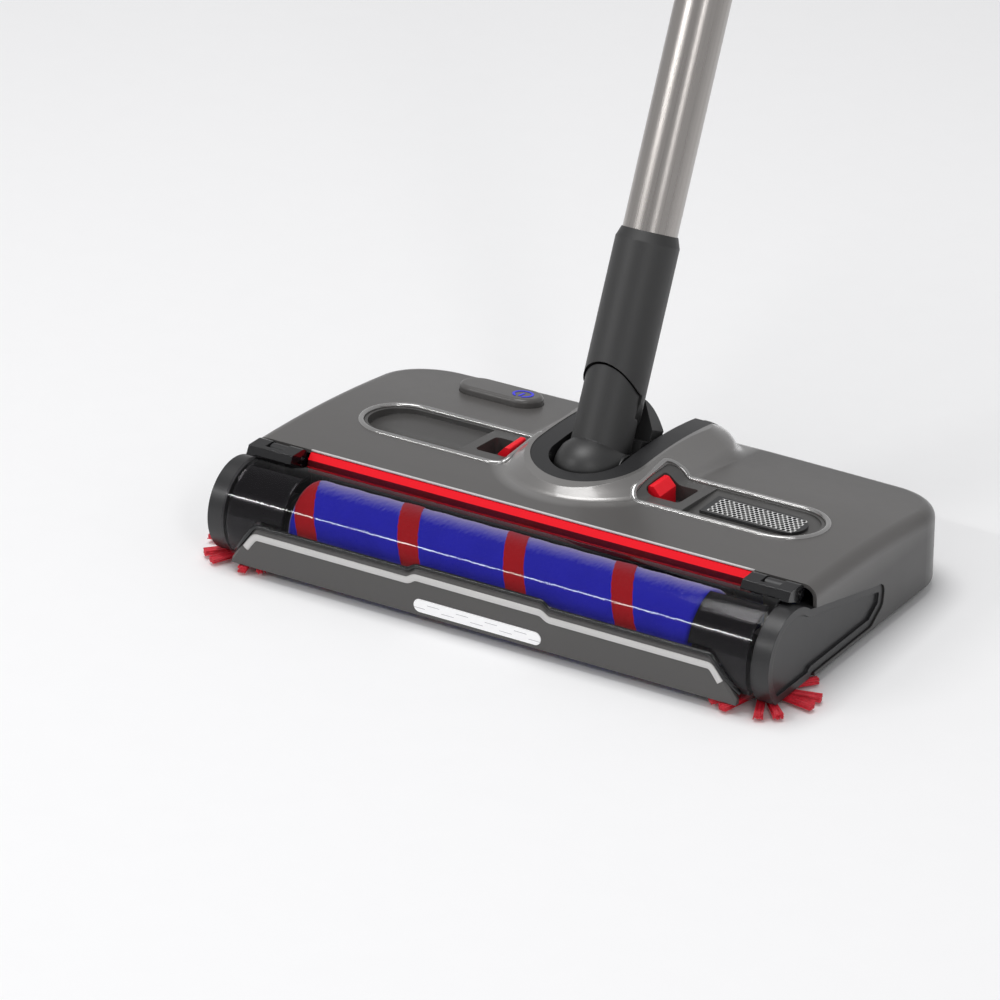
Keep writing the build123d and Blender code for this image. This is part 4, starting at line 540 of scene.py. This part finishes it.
def spiral_pile(name, blue, red, pale):
    """Velvet in two colours: the band is where the winding phase, in metres along x, is in its last stretch.

    A painted sheen mixes a pale colour into the blue at grazing angles, towards the roll's edge.
    """
    finish = Finish(name, Roughness=0.75, Specular_IOR_Level=0.2)
    x, y, z = finish.axes()
    angle = finish.node("ShaderNodeMath", {"operation": "ARCTAN2"}, {0: y - ROLL_Y, 1: z - ROLL_Z})
    wobble = (finish.noise(420.0, 2.0) - 0.5) * BAND_WOBBLE
    phase = ((x - BAND_EDGE + wobble) / PITCH + angle / (2 * pi)).fraction() * PITCH
    band = phase > (PITCH - BAND)
    tufts = finish.noise(1500.0, 2.0)
    patches = finish.noise(60.0, 3.0)
    tone = tufts * 0.35 + patches * 0.3 + 0.2
    pile = finish.ramp(tone, shade(blue, 0.6), shade(blue, 1.3))
    stripe = finish.ramp(tone, shade(red, 0.6), shade(red, 1.3))
    grazing = finish.node("ShaderNodeLayerWeight", inputs={"Blend": 0.5}, out="Facing")
    # Painted sheen: a pale colour is mixed into the base colour at grazing angles.
    tips = ((grazing - SHEEN_START) / (1.0 - SHEEN_START)).clamped() ** SHEEN_POWER
    sheen = tips * (1.0 - BAND_LESS_SHEEN * band) * SHEEN_DEPTH
    finish.feed("Base Color", finish.mix(sheen, finish.mix(band, pile, stripe), pale))
    finish.bump(tufts, 0.0002, 0.3)
    return finish.material


PILE_BLUE = (0.020, 0.020, 0.56)
BAND_RED = (0.50, 0.006, 0.012)
SHEEN_PALE = (0.78, 0.76, 1.0)
finishes["blue_nap"] = spiral_pile("spiral_pile", PILE_BLUE, BAND_RED, SHEEN_PALE)
print("pile finish: spiral_pile, one turn of the band every", PITCH, "m")

# %% [markdown]
# New pieces are surfaces worked out as arrays. A grid of points, rows by columns, becomes a mesh when each
# cell of the grid gets a face, and a grid that closes on itself repeats its first row or column. Every new
# piece then needs a finish and a body to move with, so one helper gives both.


# %% Grid meshes
def grid_mesh(name, points, wrap_u=False, wrap_v=False):
    """A mesh over a grid of points (rows, columns, 3); either way may close on itself."""
    rows, columns = points.shape[:2]
    index = np.arange(rows * columns).reshape(rows, columns)
    if wrap_u:
        index = np.concatenate([index, index[:1]])
    if wrap_v:
        index = np.concatenate([index, index[:, :1]], axis=1)
    quads = np.stack([index[:-1, :-1], index[:-1, 1:], index[1:, 1:], index[1:, :-1]], axis=-1)
    return solid_mesh(name, points.reshape(-1, 3), quads.reshape(-1, 4))


def solid_mesh(name, points, quads):
    """A smooth mesh object from arrays of points and of four-cornered faces."""
    mesh = bpy.data.meshes.new(name)
    mesh.from_pydata(points.astype(float).tolist(), [], quads.astype(int).tolist())
    mesh.validate()
    mesh.polygons.foreach_set("use_smooth", np.full(len(mesh.polygons), True))
    piece = bpy.data.objects.new(name, mesh)
    scene.collection.objects.link(piece)
    return piece


def finish_piece(piece, material, body, slot, *replaced):
    """Gives a new piece its finish, the body it moves with and the solids it stands for; the slot is not
    used.
    """
    piece.data.materials.append(material)
    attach(piece, body)
    if replaced:
        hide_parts(*replaced)
    print(piece.name, len(piece.data.polygons), "faces")


print("mesh helpers ready")

# %% [markdown]
# The roll's sleeve is a surface over distance along the roll and angle round it. Its radius is the CAD
# sleeve's, rounded in at both ends, with the red band standing a little proud and the pile slightly uneven.
# Hair could make the pile too, but it is so short and tight that a sleeve with a fine bump is enough.

# %% Roll sleeve
low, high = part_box("roll_nap")
NAP_R = (high.z - low.z) / 2
NAP_HALF = high.x
CORE_R = 0.021
END_ROUND = 0.004
PILE_INSET = 0.0005
BAND_PROUD, BAND_SOFT = 0.0004, 0.0006
WAVE, WAVES_ROUND, WAVES_ALONG = 0.00012, 7, 310
UNEVEN = 0.00006


def around_roll(x, radius, turn):
    """Points at a distance along the roll, a radius from its axis and an angle round it, from the top."""
    return np.stack([x + 0 * turn, ROLL_Y + radius * np.sin(turn), ROLL_Z + radius * np.cos(turn)], axis=-1)


def roll_sleeve(along=360, around=120):
    """Radius over (x, angle): the pile's height, less a rounded end, plus a proud band and unevenness."""
    rng = np.random.default_rng(5)
    x = np.linspace(-NAP_HALF, NAP_HALF, along)[:, None]
    turn = np.linspace(0, 2 * pi, around, endpoint=False)[None, :]
    end = np.clip((NAP_HALF - np.abs(x)) / END_ROUND, 0, 1)
    shoulder = END_ROUND * (1 - np.sqrt(1 - (1 - end) ** 2))
    winding = ((x - BAND_EDGE) / PITCH + turn / (2 * pi)) % 1.0 * PITCH
    proud = BAND_PROUD / (1 + np.exp(-(winding - (PITCH - BAND)) / BAND_SOFT))
    wave = WAVE * np.sin(WAVES_ROUND * turn + WAVES_ALONG * x)
    uneven = wave + UNEVEN * rng.standard_normal((along, around))
    outer = around_roll(x, NAP_R - PILE_INSET - shoulder + proud + uneven, turn)
    rims = [around_roll(np.full((1, 1), way * NAP_HALF), CORE_R, turn) for way in (-1, 1)]
    return np.concatenate([rims[0], outer, rims[1], rims[0]])


sleeve = grid_mesh("roll_pile", roll_sleeve()[:, ::-1], wrap_v=True)
finish_piece(sleeve, finishes["blue_nap"], "roll", "blue_nap", "roll_nap")

# %% [markdown]
# Each corner brush carries twelve tufts of red nylon, in six pairs. A tuft is a bundle of round strands that
# leave a tight root in the hub and fan out. One strand is a thin four-sided tube along a curved line, and all
# strands are worked out together: root and tip for every strand first, then the points along each. Hair
# would be less work, but these strands are to be real meshes, which move with the brush and can be exported.

# %% Corner brushes
BRUSH_X, BRUSH_Y = 0.166, -0.067
ROOT_R, TIP_R, TIP_SHORT = 0.0095, 0.0325, 0.0007
PAIRS, SPLAY, LEAD = 6, radians(10.0), radians(4.0)
STRANDS, STEPS, SIDES = 70, 4, 4
STRAND_R, STRAND_FULL, STRAND_TAPER = 0.00036, 1.25, 0.35
BUNDLE_HALF, BUNDLE_FAN = 0.0020, 0.0003
BUNDLE_Z, BUNDLE_DEEP, BUNDLE_RISE = 0.0034, 0.0015, 0.0002
BOW, DROOP = 0.012, 0.0003


def bundle(side, seed):
    """Strands over (strand, step, side): root to tip with a droop and a sideways bow, made round."""
    rng = np.random.default_rng(seed)
    pairs = np.repeat(np.arange(PAIRS) * 2 * pi / PAIRS, 2)
    lean = np.tile((-SPLAY, SPLAY), PAIRS)
    middle = np.repeat(pairs + lean + side * LEAD, STRANDS)
    count = len(middle)
    spread = rng.uniform(-1, 1, count)
    lift = rng.uniform(-1, 1, count)
    bow = rng.normal(0, BOW, count)
    reach = TIP_R - TIP_SHORT * rng.random(count)
    step = np.linspace(0, 1, STEPS)[None, :]
    radius = ROOT_R + (reach[:, None] - ROOT_R) * step
    half = BUNDLE_HALF + BUNDLE_FAN * step
    angle = middle[:, None] + spread[:, None] * half / radius + bow[:, None] * step**2
    height = BUNDLE_Z + lift[:, None] * (BUNDLE_DEEP + BUNDLE_RISE * step) - DROOP * step**2
    line_x = side * BRUSH_X + radius * np.cos(angle)
    line_y = BRUSH_Y + radius * np.sin(angle)
    path = np.stack([line_x, line_y, height], axis=-1)
    turn = np.arange(SIDES) * 2 * pi / SIDES + pi / 4
    thick = STRAND_R * np.minimum(STRAND_FULL - STRAND_TAPER * step, 1.0)[..., None]
    across = np.stack([-np.sin(angle), np.cos(angle), 0 * angle], axis=-1)
    rise = np.array([0.0, 0.0, 1.0])
    ring = np.cos(turn)[:, None] * across[:, :, None, :] + np.sin(turn)[:, None] * rise
    points = path[:, :, None, :] + thick[..., None] * ring
    cell = np.arange(count * STEPS * SIDES).reshape(count, STEPS, SIDES)
    following = np.roll(cell, -1, axis=2)
    skin = np.stack([cell[:, :-1], following[:, :-1], following[:, 1:], cell[:, 1:]], axis=-1)
    caps = np.concatenate([cell[:, 0, ::-1], cell[:, -1]])
    return points.reshape(-1, 3), np.concatenate([skin.reshape(-1, 4), caps])


brushes = {name: bundle(side, seed) for name, side, seed in (("left", -1, 11), ("right", 1, 12))}
print("strands worked out:", len(brushes) * 2 * PAIRS * STRANDS)

# %% [markdown]
# Nylon strands are smooth and glossy, and no two have quite the same red. A noise that is finer than a tuft
# shifts the tone from strand to strand, which one flat red over all of them would not do.


# %% Nylon tufts
def nylon(name, colour):
    """Nylon strands: a glossy red that shifts from strand to strand by a noise."""
    finish = Finish(name, Roughness=0.38, Specular_IOR_Level=0.5)
    shift = finish.noise(700.0, 1.0)
    finish.feed("Base Color", finish.ramp(shift, shade(colour, 0.65), shade(colour, 1.15)))
    finish.bump(finish.noise(2500.0, 1.0), 0.00003)
    return finish.material


finishes["red_bristle"] = nylon("red_bristle", (0.82, 0.030, 0.055))
for name, strands in brushes.items():
    tufts = solid_mesh(f"corner_tufts_{name}", *strands)
    solid = f"corner_brush_bristles_{name}"
    finish_piece(tufts, finishes["red_bristle"], f"corner_brush_{name}", "red_bristle", solid)

# %% [markdown]
# The lips round the pockets lie on the cover, so they need to know how high the cover is at any place. Its
# top is a shallow arch from front to back, and round the neck's well the collar's flank rises out of it. Both
# are repeated here as heights over x and y, and a smooth maximum joins them, as a fillet does on the cover.

# %% Height of the cover
FRONT_Y, FRONT_Z = -0.043, 0.060
CROWN_R = 0.9822
WELL_R = 0.035
COLLAR_OUT = np.array([0.0016, 0.0048, 0.0085, 0.0125, 0.0155, 0.0170])
COLLAR_Z = np.array([0.070, 0.066, 0.063, 0.060, 0.057, 0.044])
BLEND = 700.0


def crown(y):
    """Height of the cover's top: a circle that leaves the front edge level and falls 15 mm to the back."""
    return FRONT_Z - (CROWN_R - np.sqrt(CROWN_R**2 - (y - FRONT_Y) ** 2))


def cover_height(x, y):
    """The higher of the collar's flank, by distance out from the well's edge, and the crown, rounded off."""
    out = np.hypot(x, np.minimum(y - WELL_Y, 0)) - WELL_R
    flank = np.interp(out, COLLAR_OUT, COLLAR_Z)
    return np.log(np.exp(flank * BLEND) + np.exp(crown(y) * BLEND)) / BLEND


print("cover height at the front edge:", round(float(crown(FRONT_Y)), 4), "m")

# %% [markdown]
# Round each pocket runs a polished lip. It is thin, but it catches the light as one of the brightest lines on
# the object, so it is real geometry: an ellipse carried along the pocket's outline. Its metal-like gloss
# reflects the lamps, and its gray is paler than the cover's, a painted highlight. One helper sweeps any such
# profile along any path.

# %% Pocket lips
PILL_Y, PILL_HALF, PILL_OUT, PILL_CORNER = 0.024, 0.0225, 0.149, 0.007
LIP_W, LIP_H, LIP_SEAT = 0.0018, 0.0014, 0.0001


def swept(path, across, lift, offsets, heights):
    """Points over (path, profile): each path point, an offset along one field and a height along another."""
    return path[:, None] + offsets[None, :, None] * across[:, None] + heights[None, :, None] * lift[:, None]


def pocket_path(inner, grow, count=24):
    """A pocket's outline from its outer end: half a circle, a straight side, two corners and a side."""
    turn = np.linspace(-pi / 2, pi / 2, 2 * count)
    half = PILL_HALF + grow
    corner = PILL_CORNER + grow
    centre = PILL_OUT - PILL_HALF
    quarter = np.linspace(0, pi / 2, count)
    near = inner - grow + corner
    run = np.linspace(0, 1, 5 * count, endpoint=False)[1:]
    x = [
        centre + half * np.cos(turn),
        centre + (near - centre) * run,
        near - corner * np.sin(quarter),
        near - corner * np.cos(quarter),
        near + (centre - near) * run,
    ]
    y = [
        half * np.sin(turn),
        np.full(run.shape, half),
        half - corner + corner * np.cos(quarter),
        -half + corner - corner * np.sin(quarter),
        np.full(run.shape, -half),
    ]
    return np.stack([np.concatenate(x), PILL_Y + np.concatenate(y)], axis=-1)


def pocket_lip(side, inner):
    """A closed elliptical lip just outside a pocket's edge, laid half sunk on the cover's surface."""
    plan = pocket_path(inner, LIP_W + LIP_SEAT)
    ahead = np.roll(plan, -1, axis=0) - np.roll(plan, 1, axis=0)
    ahead /= np.linalg.norm(ahead, axis=1, keepdims=True)
    level = cover_height(plan[:, 0], plan[:, 1])
    path = np.stack([side * plan[:, 0], plan[:, 1], level - LIP_SEAT], axis=-1)
    outward = np.stack([side * ahead[:, 1], -ahead[:, 0], 0 * level], axis=-1)
    lift = np.tile((0.0, 0.0, 1.0), (len(path), 1))
    turn = np.linspace(0, 2 * pi, 12, endpoint=False)
    return swept(path, outward, lift, LIP_W * np.cos(turn), LIP_H * np.sin(turn))


# Painted highlight: the lips' gray is paler than the cover's; their metal-like gloss is real.
polished = moulded("polished_gray", (0.42, 0.415, 0.41), 0.18, 0.000004, 0.0, gloss=0.9, Metallic=0.7)
for name, side, inner in (("left", -1, 0.046), ("right", 1, 0.041)):
    lip = grid_mesh(f"pocket_lip_{name}", pocket_lip(side, inner)[:, ::side], wrap_u=True, wrap_v=True)
    finish_piece(lip, polished, "head", "body_gray")

# %% [markdown]
# A fine pale silver bead runs along the cover's front edge, a painted highlight along that edge. It is an
# open run with a round profile, so each end is closed by shrinking the last ring to a point. A bevel on the
# cover could give the same line, but the cover is a CAD solid and is left alone. The same rod serves the next
# two pieces.

# %% Front bead
BEAD_HALF, BEAD_R = 0.145, 0.0007
BEAD_AHEAD, BEAD_DOWN = 0.0001, 0.0002


def rod(path, radius, sides=12):
    """A round rod along a path; each ring stands square to the run, one axis as near to y as it can be."""
    ahead = np.gradient(path, axis=0)
    ahead /= np.linalg.norm(ahead, axis=1, keepdims=True)
    depth = np.tile((0.0, 1.0, 0.0), (len(path), 1))
    depth -= (depth * ahead).sum(1, keepdims=True) * ahead
    depth /= np.linalg.norm(depth, axis=1, keepdims=True)
    rise = np.cross(depth, ahead)
    turn = np.linspace(0, 2 * pi, sides, endpoint=False)
    rings = swept(path, depth, rise, radius * np.cos(turn), radius * np.sin(turn))
    tips = [np.repeat(path[end : end + 1, None], sides, axis=1) for end in (0, len(path) - 1)]
    return np.concatenate([tips[0], rings, tips[1]])


edge = np.linspace(-BEAD_HALF, BEAD_HALF, 60)
edge_y = np.full(edge.shape, FRONT_Y - BEAD_AHEAD)
edge_z = np.full(edge.shape, FRONT_Z - BEAD_DOWN)
bead = grid_mesh("cover_front_bead", rod(np.stack([edge, edge_y, edge_z], axis=-1), BEAD_R), wrap_v=True)
# Painted highlight: the bead's pale silver.
finish_piece(bead, finishes["satin_silver"], "head", "body_gray")

# %% [markdown]
# The hood ends below in a thick rim that follows the top of the front panel: level, a small step up in the
# middle, and a slope down at both ends. A curve object could be drawn along it, but the rod at hand needs
# only the line itself. A few corners give that line, and a short moving average rounds them.

# %% Hood rim
RIM_X = np.array([0.165, 0.149, 0.0456, 0.0416])
RIM_Z = np.array([0.0105, 0.0322, 0.0322, 0.0352])
RIM_AWAY, RIM_R = 0.0302, 0.0013
SMOOTH = 11

run = np.linspace(-RIM_X[0], RIM_X[0], 500)
corners_x = np.concatenate([-RIM_X, RIM_X[::-1]])
corners_z = np.concatenate([RIM_Z, RIM_Z[::-1]])
level = np.interp(run, corners_x, corners_z)
kernel = np.hanning(SMOOTH) / np.hanning(SMOOTH).sum()
level = np.convolve(np.pad(level, SMOOTH // 2, mode="edge"), kernel, mode="valid")
rim_y = ROLL_Y - np.sqrt(RIM_AWAY**2 - (level - ROLL_Z) ** 2)
rim = grid_mesh("hood_rim", rod(np.stack([run, rim_y, level], axis=-1), RIM_R), wrap_v=True)
finish_piece(rim, finishes["black_gloss"], "hood", "black_gloss")

# %% [markdown]
# Lower down on the front panel a flat silver brow repeats the rim's line over the light bar; its pale silver
# is a painted highlight, the bright line of light along the panel. It could be cut from a sheet, but the same
# rod along the same line, pressed flat against the panel, has rounded edges too.

# %% Brow over the light bar
BROW_DROP, BROW_HALF, BROW_PROUD, BROW_END = 0.0066, 0.0021, 0.0007, 0.1555
panel_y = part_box("front_fascia")[0].y
brow_path = np.stack([run, np.full(run.shape, panel_y), level - BROW_DROP], axis=-1)
brow_path = brow_path[np.abs(run) < BROW_END]
brow_points = rod(brow_path, BROW_HALF, 16)
brow_points[..., 1] = panel_y + (brow_points[..., 1] - panel_y) * BROW_PROUD / BROW_HALF
brow = grid_mesh("fascia_brow", brow_points, wrap_v=True)
# Painted highlight: the brow's pale silver stands for a bright line of light.
finish_piece(brow, finishes["satin_silver"], "head", "body_gray")

# %% [markdown]
# At both ends the hood is smoked nearly black, so the bearings behind it hardly show. The smoked lining is a
# thin shell inside the hood: a part of a ring, from near the top of the hood down to its lower rim. A tint in
# the hood's own finish could do it too, but a lining leaves the clear finish simple.

# %% Smoked cheeks
CHEEK_R, CHEEK_T = 0.0286, 0.0005
CHEEK_TOP = radians(97.0)
CHEEK_FOOT, PILE_GAP, HOOD_END = 0.0022, 0.0012, 0.0025
CHEEK_IN = NAP_HALF + PILE_GAP
CHEEK_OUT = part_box("hood")[1].x - HOOD_END


def cheek_lining(side, rows=24, columns=40):
    """Points over (x, profile): out along an arc of one radius and back along a smaller one, to the rim."""
    x = np.linspace(CHEEK_IN, CHEEK_OUT, rows)
    foot = np.interp(x, run, level) + CHEEK_FOOT
    last = pi + np.arcsin((ROLL_Z - foot) / CHEEK_R)
    share = np.linspace(0, 1, columns)[None, :]
    angle = CHEEK_TOP + share * (last[:, None] - CHEEK_TOP)
    angle = np.concatenate([angle, angle[:, ::-1]], axis=1)
    radius = np.repeat((CHEEK_R, CHEEK_R - CHEEK_T), columns)[None, :]
    shell_x = side * x[:, None] + 0 * angle
    shell = np.stack([shell_x, ROLL_Y + radius * np.cos(angle), ROLL_Z + radius * np.sin(angle)], axis=-1)
    middle = (shell + shell[:, ::-1]) / 2
    return np.concatenate([middle[:1], shell, middle[-1:]])


for name, side in (("left", -1), ("right", 1)):
    cheek = grid_mesh(f"hood_cheek_{name}", cheek_lining(side)[:, ::-side], wrap_v=True)
    finish_piece(cheek, finishes["smoked"], "hood", "black_gloss")

# %% [markdown]
# Every CAD solid now takes the finish that its record slot names. A few have a finish of their own: the neck
# is a darker, duller black than the end caps, the trays are darker than the cover, and the cover, the strip
# and the front panel have the finishes made for them above.

# %% Dress the CAD solids
slots = {part["node"]: part["material_slot"] for part in frame["record"]["subparts"]}
own_finish = dict.fromkeys(("neck_foot", "pole_socket", "lock_collar"), "neck_gray")
own_finish.update(dict.fromkeys(("left_tray", "right_tray"), "tray_gray"))
own_finish.update(top_cover="cover_gray", red_trim_strip="strip_red", front_fascia="fascia_gray")
for node, slot in slots.items():
    shape = nodes[node].data
    shape.materials.clear()
    shape.materials.append(finishes[own_finish.get(node, slot)])
print("dressed", len(slots), "solids")

# %% [markdown]
# The floor is a pale sheet of matt paper. The photograph's camera looks down on it everywhere, so its own
# colour under plain light is the white background, and it takes the object's soft shadow as it is.

# %% Floor
FLOOR_HALF, FLOOR_Z = 6.0, -0.0004


def pale_floor(name, colour):
    """A matt sheet whose tone shifts a little, like paper."""
    finish = Finish(name, Roughness=0.9, Specular_IOR_Level=0.1)
    paper = finish.noise(40.0, 3.0)
    finish.feed("Base Color", finish.ramp(paper, shade(colour, 0.985), colour))
    return finish.material


edge = np.linspace(-FLOOR_HALF, FLOOR_HALF, 3)
sheet = np.stack([*np.meshgrid(edge, edge, indexing="xy"), np.full((3, 3), FLOOR_Z)], axis=-1)
floor = grid_mesh("floor", sheet)
floor.data.materials.append(pale_floor("pale_floor", (0.93, 0.93, 0.935)))
print("floor", FLOOR_HALF * 2, "m across")

# %% [markdown]
# Three lamps and a gray room light the scene. A soft box overhead puts the broad sheen on the collar, a thin
# strip draws the one bright line along the hood, and a tall weak one lights the right side. That last one
# stands high, because lower down it would mirror in the flat cover when seen from behind. The room is palest
# at the horizon, so that low views keep a pale background.

# %% Lights
AIM_LIGHT = Vector((0.0, -0.03, 0.05))


def soft_box(name, way, distance, size, radiance):
    """An area lamp along a direction from the object, facing it, with its width along the head.

    Its power is its radiance times pi times its area.
    """
    out = Vector(way).normalized()
    side = (Vector((1, 0, 0)) - out * out.x).normalized()
    lamp = bpy.data.lights.new(name, "AREA")
    lamp.shape = "RECTANGLE"
    lamp.size, lamp.size_y = size
    lamp.energy = radiance * pi * size[0] * size[1]
    box = bpy.data.objects.new(name, lamp)
    box.location = AIM_LIGHT + out * distance
    box.rotation_euler = Matrix((side, out.cross(side), out)).transposed().to_euler()
    scene.collection.objects.link(box)


soft_box("overhead_box", (-0.14, 0.02, 0.99), 3.0, (1.70, 1.60), 5.9)
soft_box("strip_lamp", (-0.477, -0.68, 0.56), 2.2, (0.75, 0.09), 34.0)
soft_box("right_strip", (0.62, -0.52, 0.59), 2.2, (0.26, 1.0), 7.0)

world = bpy.data.worlds.new("room")
world.use_nodes = True
room = Graph(world.node_tree)
ways = room.node("ShaderNodeTexCoord", out="Generated")
height = room.node("ShaderNodeSeparateXYZ", inputs={"Vector": ways}, out="Z")
tone = room.ramp(height, (0.56, 0.56, 0.565), (0.28, 0.28, 0.285))
room.tree.links.new(tone.socket, room.tree.nodes["Background"].inputs["Color"])
scene.world = world
scene.view_settings.view_transform = "Standard"
